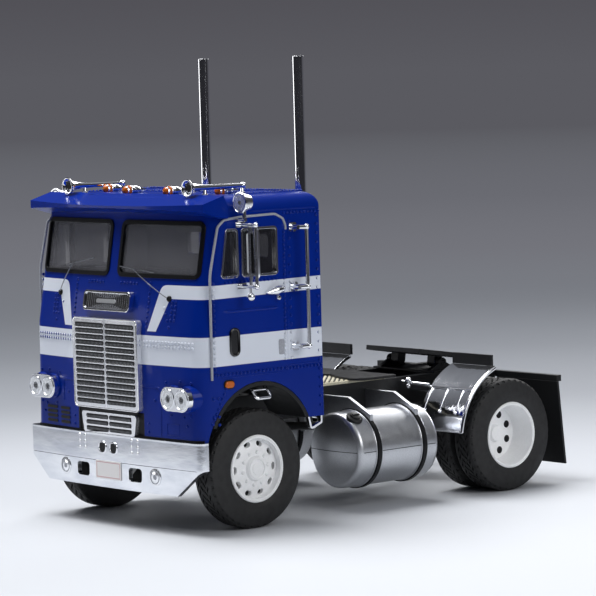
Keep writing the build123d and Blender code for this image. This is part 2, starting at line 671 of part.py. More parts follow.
with BuildPart() as headlamps:
    with BuildSketch(Plane.XZ.offset(-NOSE_Y - LOWER_BOW - CAB_WALL)):
        with Locations((-HEADLAMP_X, HEADLAMP_Z), (HEADLAMP_X, HEADLAMP_Z)):
            with GridLocations(HEADLAMP_PITCH, HEADLAMP_PITCH, 2, 1):
                Circle(HEADLAMP_RADIUS)
            Rectangle(HEADLAMP_PITCH, HEADLAMP_RADIUS)
    extrude(amount=LOWER_BOW + CAB_WALL + HEADLAMP_PROUD)
    add(cab_form.part, mode=Mode.SUBTRACT)
headlamps.part.label = "headlamps"
export_step(headlamps.part, "parts/headlamps.step")

# ---------------------------------------------------------------- roof fittings
HORN_X = 20.0
HORN_Z = 69.4
HORN_BELL_BACK = -11.3
HORN_TAIL_BACK = 3.4
HORN_BELL = 1.8
HORN_BALL = 0.7                 # knob at the rear end
HORN_TUBE = 0.45
HORN_FLARE = 2.6
HORN_LEG = 0.35
HORN_LEGS = (-6.6, 3.2)         # behind the front axle

with BuildPart() as air_horns:
    with BuildSketch(Plane.XY.offset(HORN_Z)):
        with BuildLine():
            bell_y = FRONT_AXLE_Y + HORN_BELL_BACK
            tail_y = FRONT_AXLE_Y + HORN_TAIL_BACK
            Polyline((HORN_X, bell_y), (HORN_X + HORN_BELL, bell_y),
                     (HORN_X + HORN_TUBE * 1.5, bell_y + HORN_FLARE), (HORN_X + HORN_TUBE, tail_y),
                     (HORN_X, tail_y), close=True)
        make_face()
    revolve(axis=Axis((HORN_X, 0, HORN_Z), (0, 1, 0)))
    with Locations((HORN_X, tail_y, HORN_Z)):
        Sphere(HORN_BALL)
    for back in HORN_LEGS:
        with Locations((HORN_X, FRONT_AXLE_Y + back, ROOF_Z)):
            Cylinder(HORN_LEG, HORN_Z - ROOF_Z, align=(Align.CENTER, Align.CENTER, Align.MIN))
    mirror(about=Plane.YZ)
air_horns.part.label = "air_horns"
export_step(air_horns.part, "parts/air_horns.step")

MARKER_RADIUS = 1.0
MARKER_LENGTH = 6.4
MARKER_FOOT = 0.9
# roof marker lamps on the left: sideways, front end behind the front axle
MARKERS = ((6.75, -6.6), (18.6, -2.6))
MARKER_RISE = 0.6               # a lamp's middle above the roof
MARKER_Z = ROOF_Z + MARKER_RISE
MARKER_FOOT_SHARE = 0.4         # middle of the foot along the lamp

with BuildPart() as marker_lamps:
    for across, back in MARKERS:
        with BuildSketch(Plane.XY.offset(MARKER_Z)):
            with BuildLine():
                tip_y = FRONT_AXLE_Y + back
                TangentArc((across, tip_y), (across + MARKER_RADIUS, tip_y + MARKER_RADIUS), tangent=(1, 0))
                Polyline((across + MARKER_RADIUS, tip_y + MARKER_RADIUS),
                         (across + MARKER_RADIUS, tip_y + MARKER_LENGTH / 2),
                         (across, tip_y + MARKER_LENGTH), (across, tip_y))
            make_face()
        revolve(axis=Axis((across, 0, MARKER_Z), (0, 1, 0)))
        with Locations((across, FRONT_AXLE_Y + back + MARKER_LENGTH * MARKER_FOOT_SHARE, ROOF_Z)):
            Box(MARKER_FOOT, MARKER_LENGTH / 2, MARKER_Z - ROOF_Z,
                align=(Align.CENTER, Align.CENTER, Align.MIN))
    mirror(about=Plane.YZ)
    add(cab_form.part, mode=Mode.SUBTRACT)
marker_lamps.part.label = "marker_lamps"
export_step(marker_lamps.part, "parts/marker_lamps.step")

SPOT_OUT = 2.25                 # beyond the cab's side
SPOT_X = CAB_HALF + SPOT_OUT
SPOT_BACK = -6.4
SPOT_Z = 66.5
SPOT_RADIUS = 2.15
SPOT_DEPTH = 2.2
SPOT_TAPER = 16.0
SPOT_STEM = 0.4
SPOT_STEM_Z = 63.0

with BuildPart() as spot_lamps:
    with BuildSketch(Plane.XZ.offset(-FRONT_AXLE_Y - SPOT_BACK)):
        with Locations((SPOT_X, SPOT_Z)):
            Circle(SPOT_RADIUS)
    extrude(amount=-SPOT_DEPTH, taper=SPOT_TAPER)
    stem_y = FRONT_AXLE_Y + SPOT_BACK + SPOT_DEPTH / 2
    rod((SPOT_X, stem_y, SPOT_Z), (SPOT_X, stem_y, SPOT_STEM_Z - SPOT_STEM), SPOT_STEM)
    rod((CAB_HALF, stem_y, SPOT_STEM_Z), (SPOT_X + SPOT_STEM, stem_y, SPOT_STEM_Z), SPOT_STEM)
    mirror(about=Plane.YZ)
spot_lamps.part.label = "spot_lamps"
export_step(spot_lamps.part, "parts/spot_lamps.step")

# ---------------------------------------------------------------- cab side fittings
MIRROR_OUT = 2.85               # middle of the head, beyond the cab's side
MIRROR_X = CAB_HALF + MIRROR_OUT
MIRROR_BACK = -4.05
MIRROR_STEM_BACK = -4.55        # upright that carries the head
MIRROR_TURN = 5.0               # the head's outer edge is turned towards the rear
MIRROR_WIDTH = 3.5
MIRROR_DEPTH = 0.8
MIRROR_ROUND = 1.2
MIRROR_LOW_Z = 51.0
MIRROR_HIGH_Z = 61.6
MIRROR_TUBE = 0.35
MIRROR_TUBE_OUT = 5.0           # upright tube, beyond the cab's side
MIRROR_TUBE_BACK = -4.8
MIRROR_TOP_Z = 62.0
MIRROR_FOOT_Z = 49.7
MIRROR_KNOB = 0.55
MIRROR_PAD = 2.4
MIRROR_PAD_SHEET = 0.4

with BuildPart() as side_mirrors:
    head_plane = Plane(
        origin=(MIRROR_X, FRONT_AXLE_Y + MIRROR_BACK, (MIRROR_LOW_Z + MIRROR_HIGH_Z) / 2),
        x_dir=(cos(radians(MIRROR_TURN)), sin(radians(MIRROR_TURN)), 0),
        z_dir=(sin(radians(MIRROR_TURN)), -cos(radians(MIRROR_TURN)), 0),
    )
    with BuildSketch(head_plane):
        RectangleRounded(MIRROR_WIDTH, MIRROR_HIGH_Z - MIRROR_LOW_Z, MIRROR_ROUND)
    extrude(amount=MIRROR_DEPTH / 2, both=True)
    tube_x = CAB_HALF + MIRROR_TUBE_OUT
    tube_y = FRONT_AXLE_Y + MIRROR_TUBE_BACK
    rod((tube_x, tube_y, MIRROR_FOOT_Z), (tube_x, tube_y, MIRROR_TOP_Z), MIRROR_TUBE)
    stem_y = FRONT_AXLE_Y + MIRROR_STEM_BACK
    rod((MIRROR_X, stem_y, MIRROR_FOOT_Z), (MIRROR_X, stem_y, MIRROR_TOP_Z), MIRROR_TUBE)
    for z in (MIRROR_FOOT_Z, MIRROR_TOP_Z):
        rod((CAB_HALF, tube_y, z), (tube_x, tube_y, z), MIRROR_TUBE)
        with Locations((tube_x, tube_y, z)):
            Sphere(MIRROR_KNOB)
        with Locations((CAB_HALF, tube_y, z)):
            Box(MIRROR_PAD_SHEET, MIRROR_PAD, MIRROR_KNOB * 2, align=(Align.MIN, Align.CENTER, Align.CENTER))
    mirror(about=Plane.YZ)
side_mirrors.part.label = "side_mirrors"
export_step(side_mirrors.part, "parts/side_mirrors.step")

RAIL_OUT = 2.55                 # beyond the cab's side
RAIL_X = CAB_HALF + RAIL_OUT
GRAB_BACK = 10.7
GRAB_FOOT_BACK = 8.6
GRAB_RADIUS = 0.45
GRAB_LOW_Z = 36.6
GRAB_MIDDLE_Z = 48.7
GRAB_HIGH_Z = 60.8

with BuildPart() as grab_rails:
    rod((RAIL_X, FRONT_AXLE_Y + GRAB_BACK, GRAB_LOW_Z - GRAB_RADIUS),
        (RAIL_X, FRONT_AXLE_Y + GRAB_BACK, GRAB_HIGH_Z + GRAB_RADIUS), GRAB_RADIUS)
    for z in (GRAB_LOW_Z, GRAB_MIDDLE_Z, GRAB_HIGH_Z):
        rod((RAIL_X, FRONT_AXLE_Y + GRAB_BACK, z), (RAIL_X, FRONT_AXLE_Y + GRAB_FOOT_BACK, z), GRAB_RADIUS)
        rod((CAB_HALF, FRONT_AXLE_Y + GRAB_FOOT_BACK, z), (RAIL_X, FRONT_AXLE_Y + GRAB_FOOT_BACK, z), GRAB_RADIUS)
    mirror(about=Plane.YZ)
grab_rails.part.label = "grab_rails"
export_step(grab_rails.part, "parts/grab_rails.step")

HANDLE_FRONT = 1.5
HANDLE_REAR = 5.8
HANDLE_Z = 47.75
HANDLE_HEIGHT = 0.9
HANDLE_PROUD = 0.9
HANDLE_POST = 0.9

with BuildPart() as door_handles:
    with Locations((CAB_HALF + HANDLE_PROUD, FRONT_AXLE_Y + HANDLE_FRONT, HANDLE_Z)):
        Box(HANDLE_PROUD / 2, HANDLE_REAR - HANDLE_FRONT, HANDLE_HEIGHT,
            align=(Align.MAX, Align.MIN, Align.CENTER))
    for back in (HANDLE_FRONT + HANDLE_POST, HANDLE_REAR - HANDLE_POST):
        with Locations((CAB_HALF, FRONT_AXLE_Y + back, HANDLE_Z)):
            Box(HANDLE_PROUD, HANDLE_POST, HANDLE_HEIGHT, align=(Align.MIN, Align.CENTER, Align.CENTER))
    mirror(about=Plane.YZ)
door_handles.part.label = "door_handles"
export_step(door_handles.part, "parts/door_handles.step")

with BuildPart() as wheel_arch_liners:
    with BuildSketch(Plane.YZ.offset(LINER_INNER_X)):
        with Locations((ARCH_Y, ARCH_Z)):
            Circle(ARCH_RADIUS - SEAT_GAP)
            Circle(ARCH_RADIUS - SEAT_GAP - LINER, mode=Mode.SUBTRACT)
        with Locations((ARCH_Y, CAB_SILL_Z)):
            Rectangle(ARCH_RADIUS * 2, ARCH_RADIUS, align=(Align.CENTER, Align.MIN), mode=Mode.INTERSECT)
    extrude(amount=CAB_HALF - LINER_INNER_X)
    mirror(about=Plane.YZ)
wheel_arch_liners.part.label = "wheel_arch_liners"
export_step(wheel_arch_liners.part, "parts/wheel_arch_liners.step")

STEP_ROD = 0.35
STEP_BEND = 0.8
UPPER_STEP_FRONT = -2.1         # behind the front axle
UPPER_STEP_REAR = 1.9
UPPER_STEP_Z = 26.8
UPPER_STEP_OUT = 0.6            # beyond the cab's side
UPPER_STEP_REACH = 2.5          # sideways, from its root under the arch
UPPER_STEP_BAR_Z = 28.4
UPPER_STEP_BAR = 0.28

with BuildPart() as upper_steps:
    bar_x = CAB_HALF + UPPER_STEP_OUT
    root_z = FLOOR_LOW_Z - SEAT_GAP - LINER + STEP_ROD / 2
    with BuildLine() as stirrup:
        FilletPolyline((bar_x - UPPER_STEP_REACH, FRONT_AXLE_Y + UPPER_STEP_FRONT, root_z),
                       (bar_x, FRONT_AXLE_Y + UPPER_STEP_FRONT, UPPER_STEP_Z),
                       (bar_x, FRONT_AXLE_Y + UPPER_STEP_REAR, UPPER_STEP_Z),
                       (bar_x - UPPER_STEP_REACH, FRONT_AXLE_Y + UPPER_STEP_REAR, root_z), radius=STEP_BEND)
    with BuildSketch(Plane(origin=stirrup.line @ 0, z_dir=stirrup.line % 0)):
        Circle(STEP_ROD)
    sweep(path=stirrup.line)
    inner_x = bar_x - UPPER_STEP_REACH * (UPPER_STEP_BAR_Z - UPPER_STEP_Z) / (root_z - UPPER_STEP_Z)
    rod((inner_x, FRONT_AXLE_Y + UPPER_STEP_FRONT, UPPER_STEP_BAR_Z),
        (inner_x, FRONT_AXLE_Y + UPPER_STEP_REAR, UPPER_STEP_BAR_Z), UPPER_STEP_BAR)
    mirror(about=Plane.YZ)
    add(wheel_arch_liners.part, mode=Mode.SUBTRACT)
upper_steps.part.label = "upper_steps"
export_step(upper_steps.part, "parts/upper_steps.step")

STEP_SHEET = 0.8
STEP_BAR = 0.45
STEP_LOW_Z = 18.9
STEP_REAR_Z = 20.1
STEP_ROUND = 0.7
# the front leg's top, the low corner and the rear leg, all ahead of the cab's rear
STEP_FRONT, STEP_CORNER, STEP_REAR = 4.3, 3.4, 0.2

with BuildPart() as lower_steps:
    with BuildSketch(Plane.YZ.offset(CAB_HALF - CAB_WALL)) as loop:
        with BuildLine():
            Polyline((CAB_REAR_Y - STEP_FRONT, CAB_SILL_Z + STEP_SHEET),
                     (CAB_REAR_Y - STEP_CORNER, STEP_LOW_Z), (CAB_REAR_Y - STEP_REAR, STEP_REAR_Z),
                     (CAB_REAR_Y - STEP_REAR, CAB_SILL_Z + STEP_SHEET), close=True)
        make_face()
        fillet(loop.vertices().group_by(Axis.Z)[0:2], radius=STEP_ROUND)
        offset(amount=-STEP_BAR, mode=Mode.SUBTRACT)
        with Locations((CAB_REAR_Y, CAB_SILL_Z)):
            Rectangle(CAB_LENGTH, STEP_SHEET * 2, align=(Align.MAX, Align.MIN), mode=Mode.SUBTRACT)
    extrude(amount=STEP_SHEET)
    mirror(about=Plane.YZ)
lower_steps.part.label = "lower_steps"
export_step(lower_steps.part, "parts/lower_steps.step")

# ---------------------------------------------------------------- frame
with BuildPart() as frame_rails:
    for side in (-1, 1):
        with Locations((side * (FRAME_HALF - RAIL_WIDTH / 2), RAIL_FRONT_Y, RAIL_BOTTOM_Z)):
            Box(RAIL_WIDTH, RAIL_REAR_Y - RAIL_FRONT_Y, RAIL_HEIGHT,
                align=(Align.CENTER, Align.MIN, Align.MIN))
frame_rails.part.label = "frame_rails"
export_step(frame_rails.part, "parts/frame_rails.step")

BOSS_THICKNESS = 3.2
CROSS_LOW_Z = RAIL_TOP_Z - CROSS_HEIGHT - (RAIL_HEIGHT - CROSS_HEIGHT) / 2
CROSS_BEHIND_CAB = 1.1
CROSS_BY_TANK = 8.5             # behind the tanks' front
CROSS_AT_FENDER = 16.0          # ahead of the rear axle
# crossmembers: middle, thickness; the first and the last carry the screws of a display base
FRONT_BOSS_Y = RAIL_FRONT_Y + BOSS_THICKNESS / 2
REAR_BOSS_Y = RAIL_REAR_Y - BOSS_THICKNESS / 2
CROSSMEMBERS = (
    (FRONT_BOSS_Y, BOSS_THICKNESS),
    (CAB_REAR_Y + CROSS_BEHIND_CAB, CROSS_THICKNESS),
    (FRONT_AXLE_Y + TANK_FRONT + CROSS_BY_TANK, CROSS_THICKNESS),
    (REAR_AXLE_Y - CROSS_AT_FENDER, CROSS_THICKNESS),
    (REAR_AXLE_Y + COUPLING_BACK, CROSS_THICKNESS),
    (REAR_BOSS_Y, BOSS_THICKNESS),
)

with BuildPart() as crossmembers:
    for middle, thickness in CROSSMEMBERS:
        with Locations((0, middle, CROSS_LOW_Z)):
            Box((FRAME_HALF - RAIL_WIDTH) * 2, thickness, CROSS_HEIGHT,
                align=(Align.CENTER, Align.CENTER, Align.MIN))
    for middle in (FRONT_BOSS_Y, REAR_BOSS_Y):
        with Locations((0, middle, CROSS_LOW_Z)):
            Cylinder(BOSS_HOLE_RADIUS, BOSS_HOLE_DEPTH, align=(Align.CENTER, Align.CENTER, Align.MIN),
                     mode=Mode.SUBTRACT)
crossmembers.part.label = "crossmembers"
export_step(crossmembers.part, "parts/crossmembers.step")

with BuildPart() as front_axle_beam:
    with Locations((0, FRONT_AXLE_Y, AXLE_Z)):
        Box((FRONT_TRACK_OUT - TYRE_WIDTH - BEAM_SET) * 2, BEAM_SIZE, BEAM_SIZE)
    with BuildSketch(Plane.YZ):
        with Locations((FRONT_AXLE_Y, AXLE_Z)):
            Circle(PIN_RADIUS + FIT)
    extrude(amount=FRONT_TRACK_OUT, both=True, mode=Mode.SUBTRACT)
front_axle_beam.part.label = "front_axle_beam"
export_step(front_axle_beam.part, "parts/front_axle_beam.step")

REAR_INNER_X = REAR_TRACK_OUT - TYRE_WIDTH * 2 - DUAL_GAP

with BuildPart() as rear_axle_housing:
    housing_half = REAR_INNER_X - HOUSING_SET
    with BuildSketch(axle_plane(REAR_AXLE_Y)):
        with BuildLine():
            Polyline((-DIFFERENTIAL_RADIUS, HOUSING_RADIUS), (-housing_half, HOUSING_RADIUS),
                     (-housing_half, PIN_RADIUS + FIT), (housing_half, PIN_RADIUS + FIT),
                     (housing_half, HOUSING_RADIUS), (DIFFERENTIAL_RADIUS, HOUSING_RADIUS),
                     (DIFFERENTIAL_RADIUS / 2, DIFFERENTIAL_RADIUS),
                     (-DIFFERENTIAL_RADIUS / 2, DIFFERENTIAL_RADIUS), close=True)
        make_face()
    revolve(axis=axle_axis(REAR_AXLE_Y))
rear_axle_housing.part.label = "rear_axle_housing"
export_step(rear_axle_housing.part, "parts/rear_axle_housing.step")

# springs: axle, height of the seat on the axle
SPRINGS = ((FRONT_AXLE_Y, AXLE_Z + BEAM_SIZE / 2), (REAR_AXLE_Y, AXLE_Z + HOUSING_RADIUS))

with BuildPart() as leaf_springs:
    for axle, seat in SPRINGS:
        with BuildSketch(Plane.YZ.offset(SPRING_X - SPRING_WIDTH / 2)):
            with BuildLine():
                low = ThreePointArc((axle - SPRING_HALF_SPAN, RAIL_BOTTOM_Z - SPRING_LEAF), (axle, seat),
                                    (axle + SPRING_HALF_SPAN, RAIL_BOTTOM_Z - SPRING_LEAF))
                high = ThreePointArc((axle - SPRING_HALF_SPAN, RAIL_BOTTOM_Z), (axle, seat + SPRING_LEAF),
                                     (axle + SPRING_HALF_SPAN, RAIL_BOTTOM_Z))
                Line(low @ 0, high @ 0)
                Line(low @ 1, high @ 1)
            make_face()
        extrude(amount=SPRING_WIDTH)
    mirror(about=Plane.YZ)
leaf_springs.part.label = "leaf_springs"
export_step(leaf_springs.part, "parts/leaf_springs.step")

with BuildPart() as engine_block:
    with Locations((0, FRONT_AXLE_Y, ENGINE_BOTTOM_Z)):
        Box(ENGINE_HALF_WIDTH * 2, ENGINE_HALF_LENGTH * 2, ENGINE_TOP_Z - ENGINE_BOTTOM_Z,
            align=(Align.CENTER, Align.CENTER, Align.MIN))
    chamfer(engine_block.edges().filter_by(Axis.Y), length=ENGINE_HALF_WIDTH / 5)
    # feet on the inside of the rails
    with Locations((0, FRONT_AXLE_Y, RAIL_BOTTOM_Z)):
        Box((FRAME_HALF - RAIL_WIDTH) * 2, BEAM_SIZE, CROSS_THICKNESS,
            align=(Align.CENTER, Align.CENTER, Align.MIN))
engine_block.part.label = "engine_block"
export_step(engine_block.part, "parts/engine_block.step")

SHAFT_RADIUS = 0.9
SHAFT_FRONT_Z = 17.4

with BuildPart() as driveshaft:
    rod((0, FRONT_AXLE_Y + ENGINE_HALF_LENGTH, SHAFT_FRONT_Z),
        (0, REAR_AXLE_Y - DIFFERENTIAL_RADIUS + SHAFT_RADIUS, AXLE_Z + SHAFT_RADIUS), SHAFT_RADIUS)
    add(rear_axle_housing.part, mode=Mode.SUBTRACT)
    with Locations((0, FRONT_AXLE_Y, SHAFT_FRONT_Z)):
        Box(ENGINE_HALF_WIDTH, ENGINE_HALF_LENGTH * 2, ENGINE_HALF_WIDTH, mode=Mode.SUBTRACT)
driveshaft.part.label = "driveshaft"
export_step(driveshaft.part, "parts/driveshaft.step")

# ---------------------------------------------------------------- wheels
SIDEWALL_BULGE = 0.3
SHOULDER = 1.1


def tyre(outer_x, axle_y, bead):
    """One tyre: bulged sidewalls from the bead to round shoulders, turned about the axle."""
    out = outer_x - SIDEWALL_BULGE
    back = outer_x - TYRE_WIDTH + SIDEWALL_BULGE
    middle = (bead + TYRE_RADIUS) / 2
    with BuildSketch(axle_plane(axle_y)) as section:
        with BuildLine():
            Line((back, bead), (out, bead))
            ThreePointArc((out, bead), (outer_x, middle), (out, TYRE_RADIUS))
            Line((out, TYRE_RADIUS), (back, TYRE_RADIUS))
            ThreePointArc((back, TYRE_RADIUS), (outer_x - TYRE_WIDTH, middle), (back, bead))
        make_face()
        fillet(section.vertices().group_by(Axis.Z)[-1], radius=SHOULDER)
    revolve(section.sketch, axis=axle_axis(axle_y))


# wheelsets: name, axle, tyres' outer faces, rim radius
WHEELSETS = (
    ("front", FRONT_AXLE_Y, (FRONT_TRACK_OUT,), FRONT_RIM_RADIUS),
    ("rear", REAR_AXLE_Y, (REAR_TRACK_OUT, REAR_TRACK_OUT - TYRE_WIDTH - DUAL_GAP), REAR_RIM_RADIUS),
)

for name, axle, outer_faces, bead in WHEELSETS:
    with BuildPart() as tyres:
        for outer_x in outer_faces:
            tyre(outer_x, axle, bead)
        mirror(about=Plane.YZ)
    tyres.part.label = f"{name}_tyres"
    export_step(tyres.part, f"parts/{name}_tyres.step")

HUB_RADIUS = 2.6
BOSS_RADIUS = 1.15
HUB_SET = 0.3
DISC = 0.9
DISC_EDGE_SET = 1.5             # front disc where it meets the barrel
HAND_HOLES = 10
HAND_HOLE_RADIUS = 0.55
HAND_HOLE_RING = 5.15
HAND_HOLE_STRETCH = 0.5

with BuildPart() as front_rims:
    rim_out = FRONT_TRACK_OUT - RIM_SET
    rim_in = FRONT_TRACK_OUT - TYRE_WIDTH + RIM_SET
    with BuildSketch(axle_plane(FRONT_AXLE_Y)):
        with BuildLine():
            Polyline(
                (rim_out, FRONT_RIM_RADIUS), (rim_out, FRONT_RIM_RADIUS - RIM_WALL),
                (rim_out - DISC_EDGE_SET, FRONT_RIM_RADIUS - RIM_WALL), (rim_out - HUB_SET * 2, HUB_RADIUS + DISC),
                (rim_out - HUB_SET * 2, HUB_RADIUS), (rim_out, HUB_RADIUS - HUB_SET), (rim_out, BOSS_RADIUS),
                (FRONT_TRACK_OUT, BOSS_RADIUS), (FRONT_TRACK_OUT, 0), (rim_out - HUB_SET * 2, 0),
                (rim_out - HUB_SET * 2, PIN_RADIUS), (rim_out - DISC_EDGE_SET - DISC, PIN_RADIUS),
                (rim_out - DISC_EDGE_SET - DISC, FRONT_RIM_RADIUS - RIM_WALL),
                (rim_in, FRONT_RIM_RADIUS - RIM_WALL), (rim_in, FRONT_RIM_RADIUS), close=True)
        make_face()
    revolve(axis=axle_axis(FRONT_AXLE_Y))
    with BuildSketch(Plane.YZ.offset(rim_in)):
        with Locations((FRONT_AXLE_Y, AXLE_Z)):
            with PolarLocations(HAND_HOLE_RING, HAND_HOLES):
                SlotCenterToCenter(HAND_HOLE_STRETCH, HAND_HOLE_RADIUS * 2, rotation=90)
    extrude(amount=TYRE_WIDTH, mode=Mode.SUBTRACT)
    mirror(about=Plane.YZ)
front_rims.part.label = "front_rims"
export_step(front_rims.part, "parts/front_rims.step")

REAR_DISH = 5.4
REAR_HUB_RADIUS = 1.9
REAR_HUB_PROUD = 1.0
REAR_HOLES = 8
REAR_HOLE_RADIUS = 0.65
REAR_HOLE_RING = 4.2

with BuildPart() as rear_rims:
    rim_out = REAR_TRACK_OUT - RIM_SET
    rim_in = REAR_INNER_X + RIM_SET
    disc_x = rim_out - REAR_DISH
    with BuildSketch(axle_plane(REAR_AXLE_Y)):
        with BuildLine():
            Polyline(
                (rim_out, REAR_RIM_RADIUS), (rim_out, REAR_RIM_RADIUS - RIM_WALL),
                (disc_x, REAR_RIM_RADIUS - RIM_WALL * 2), (disc_x, REAR_HUB_RADIUS),
                (disc_x + REAR_HUB_PROUD, REAR_HUB_RADIUS - HUB_SET), (disc_x + REAR_HUB_PROUD, 0),
                (disc_x + HUB_SET, 0), (disc_x + HUB_SET, PIN_RADIUS), (disc_x - DISC, PIN_RADIUS),
                (disc_x - DISC, REAR_RIM_RADIUS - RIM_WALL * 2), (rim_in, REAR_RIM_RADIUS - RIM_WALL),
                (rim_in, REAR_RIM_RADIUS), close=True)
        make_face()
    revolve(axis=axle_axis(REAR_AXLE_Y))
    with BuildSketch(Plane.YZ.offset(rim_in)):
        with Locations((REAR_AXLE_Y, AXLE_Z)):
            with PolarLocations(REAR_HOLE_RING, REAR_HOLES, start_angle=180 / REAR_HOLES):
                Circle(REAR_HOLE_RADIUS)
    extrude(amount=rim_out - rim_in, mode=Mode.SUBTRACT)
    mirror(about=Plane.YZ)
rear_rims.part.label = "rear_rims"
export_step(rear_rims.part, "parts/rear_rims.step")

# axle pins: name, axle, half length
PINS = (
    ("front_axle_pin", FRONT_AXLE_Y, FRONT_TRACK_OUT - RIM_SET - HUB_SET * 2),
    ("rear_axle_pin", REAR_AXLE_Y, REAR_TRACK_OUT - RIM_SET - REAR_DISH + HUB_SET),
)

for name, axle, half_length in PINS:
    with BuildPart() as pin:
        with BuildSketch(Plane.YZ):
            with Locations((axle, AXLE_Z)):
                Circle(PIN_RADIUS)
        extrude(amount=half_length, both=True)
    pin.part.label = name
    export_step(pin.part, f"parts/{name}.step")

# ---------------------------------------------------------------- exhaust
with BuildPart() as stack_beam:
    with Locations((0, FRONT_AXLE_Y + STACK_BACK, RAIL_TOP_Z)):
        Box((STACK_X + MUFFLER_RADIUS) * 2, MUFFLER_RADIUS * 2, STACK_BEAM_HEIGHT,
            align=(Align.CENTER, Align.CENTER, Align.MIN))
stack_beam.part.label = "stack_beam"
export_step(stack_beam.part, "parts/stack_beam.step")

with BuildPart() as exhaust_stacks:
    with Locations((STACK_X, FRONT_AXLE_Y + STACK_BACK, RAIL_TOP_Z + STACK_BEAM_HEIGHT)):
        Cylinder(STACK_RADIUS, STACK_TOP_Z - RAIL_TOP_Z - STACK_BEAM_HEIGHT,
                 align=(Align.CENTER, Align.CENTER, Align.MIN))
    with Locations((STACK_X, FRONT_AXLE_Y + STACK_BACK, MUFFLER_LOW_Z)):
        Cylinder(MUFFLER_RADIUS, MUFFLER_HIGH_Z - MUFFLER_LOW_Z,
                 align=(Align.CENTER, Align.CENTER, Align.MIN))
    mirror(about=Plane.YZ)
exhaust_stacks.part.label = "exhaust_stacks"
export_step(exhaust_stacks.part, "parts/exhaust_stacks.step")

# ---------------------------------------------------------------- fuel tanks
TANK_Y = FRONT_AXLE_Y + TANK_FRONT
STRAP_FRONT = 5.5               # middle of a strap, in from the tank's front and rear ends
STRAP_REAR = 4.5
STRAP_PLACES = (STRAP_FRONT, TANK_LENGTH - STRAP_REAR)

with BuildPart() as fuel_tanks:
    with BuildSketch(Plane.XZ.offset(-TANK_Y)):
        with Locations((TANK_X, TANK_Z)):
            Circle(TANK_RADIUS)
    extrude(amount=-TANK_LENGTH)
    fillet(fuel_tanks.edges().filter_by(GeomType.CIRCLE), radius=TANK_ROUND)
    mirror(about=Plane.YZ)
fuel_tanks.part.label = "fuel_tanks"
export_step(fuel_tanks.part, "parts/fuel_tanks.step")

with BuildPart() as tank_straps:
    for place in STRAP_PLACES:
        with BuildSketch(Plane.XZ.offset(-TANK_Y - place - STRAP_WIDTH / 2)):
            with Locations((TANK_X, TANK_Z)):
                Circle(TANK_RADIUS + STRAP)
                Circle(TANK_RADIUS, mode=Mode.SUBTRACT)
        extrude(amount=STRAP_WIDTH)
    mirror(about=Plane.YZ)
tank_straps.part.label = "tank_straps"
export_step(tank_straps.part, "parts/tank_straps.step")

BRACKET_FLAT_X = 19.0
BRACKET_TIP_X = 25.8
BRACKET_TIP_Z = 20.1

with BuildPart() as tank_brackets:
    for place in STRAP_PLACES:
        with BuildSketch(Plane.XZ.offset(-TANK_Y - place - BRACKET_THICKNESS / 2)):
            with BuildLine():
                Polyline((FRAME_HALF, TANK_Z), (FRAME_HALF, BRACKET_TOP_Z), (BRACKET_FLAT_X, BRACKET_TOP_Z),
                         (BRACKET_TIP_X, BRACKET_TIP_Z), (BRACKET_TIP_X, TANK_Z), close=True)
            make_face()
            with Locations((TANK_X, TANK_Z)):
                Circle(TANK_RADIUS + STRAP, mode=Mode.SUBTRACT)
        extrude(amount=BRACKET_THICKNESS)
    mirror(about=Plane.YZ)
tank_brackets.part.label = "tank_brackets"
export_step(tank_brackets.part, "parts/tank_brackets.step")

# ---------------------------------------------------------------- deck, fenders, mudflaps
with BuildPart() as deck_plate:
    with Locations((0, FRONT_AXLE_Y + DECK_FRONT, RAIL_TOP_Z)):
        Box(FRAME_HALF * 2, DECK_LENGTH, DECK_THICKNESS, align=(Align.CENTER, Align.MIN, Align.MIN))
deck_plate.part.label = "deck_plate"
export_step(deck_plate.part, "parts/deck_plate.step")


def fender_point(angle, radius):
    """A point on the fender's arc, at an angle above the horizontal, ahead of the rear axle."""
    return (REAR_AXLE_Y - radius * cos(radians(angle)), AXLE_Z + radius * sin(radians(angle)))


FENDER_MIDDLE_ANGLE = (FENDER_LOW_ANGLE + FENDER_HIGH_ANGLE) / 2
FENDER_ARM_ANGLE = 42.0
FENDER_ARM = 1.2

with BuildPart() as quarter_fenders:
    with BuildSketch(Plane.YZ.offset(FENDER_INNER_X)):
        with BuildLine():
            ends = []
            for radius in (FENDER_RADIUS, FENDER_RADIUS - FENDER_SHEET):
                arc = ThreePointArc(fender_point(FENDER_LOW_ANGLE, radius),
                                    fender_point(FENDER_MIDDLE_ANGLE, radius),
                                    fender_point(FENDER_HIGH_ANGLE, radius))
                ends.append(arc)
            Line(ends[0] @ 0, ends[1] @ 0)
            Line(ends[0] @ 1, ends[1] @ 1)
        make_face()
    extrude(amount=FENDER_OUTER_X - FENDER_INNER_X)
    # arm from the frame rail
    arm_y, arm_z = fender_point(FENDER_ARM_ANGLE, FENDER_RADIUS)
    with Locations((FRAME_HALF, arm_y, arm_z)):
        Box(FENDER_INNER_X - FRAME_HALF + FENDER_ARM, FENDER_ARM, FENDER_ARM,
            align=(Align.MIN, Align.MIN, Align.MAX))
    mirror(about=Plane.YZ)
quarter_fenders.part.label = "quarter_fenders"
export_step(quarter_fenders.part, "parts/quarter_fenders.step")

with BuildPart() as fender_boards:
    board_y, board_z = fender_point(FENDER_HIGH_ANGLE, FENDER_RADIUS)
    with Locations((FENDER_INNER_X, board_y, board_z)):
        Box(FENDER_OUTER_X - FENDER_INNER_X - FENDER_ARM, FENDER_SHEET, BOARD_HEIGHT,
            align=(Align.MIN, Align.MIN, Align.MIN))
    mirror(about=Plane.YZ)
fender_boards.part.label = "fender_boards"
export_step(fender_boards.part, "parts/fender_boards.step")

flap_y = RAIL_REAR_Y
HANGER_DEPTH = 1.4

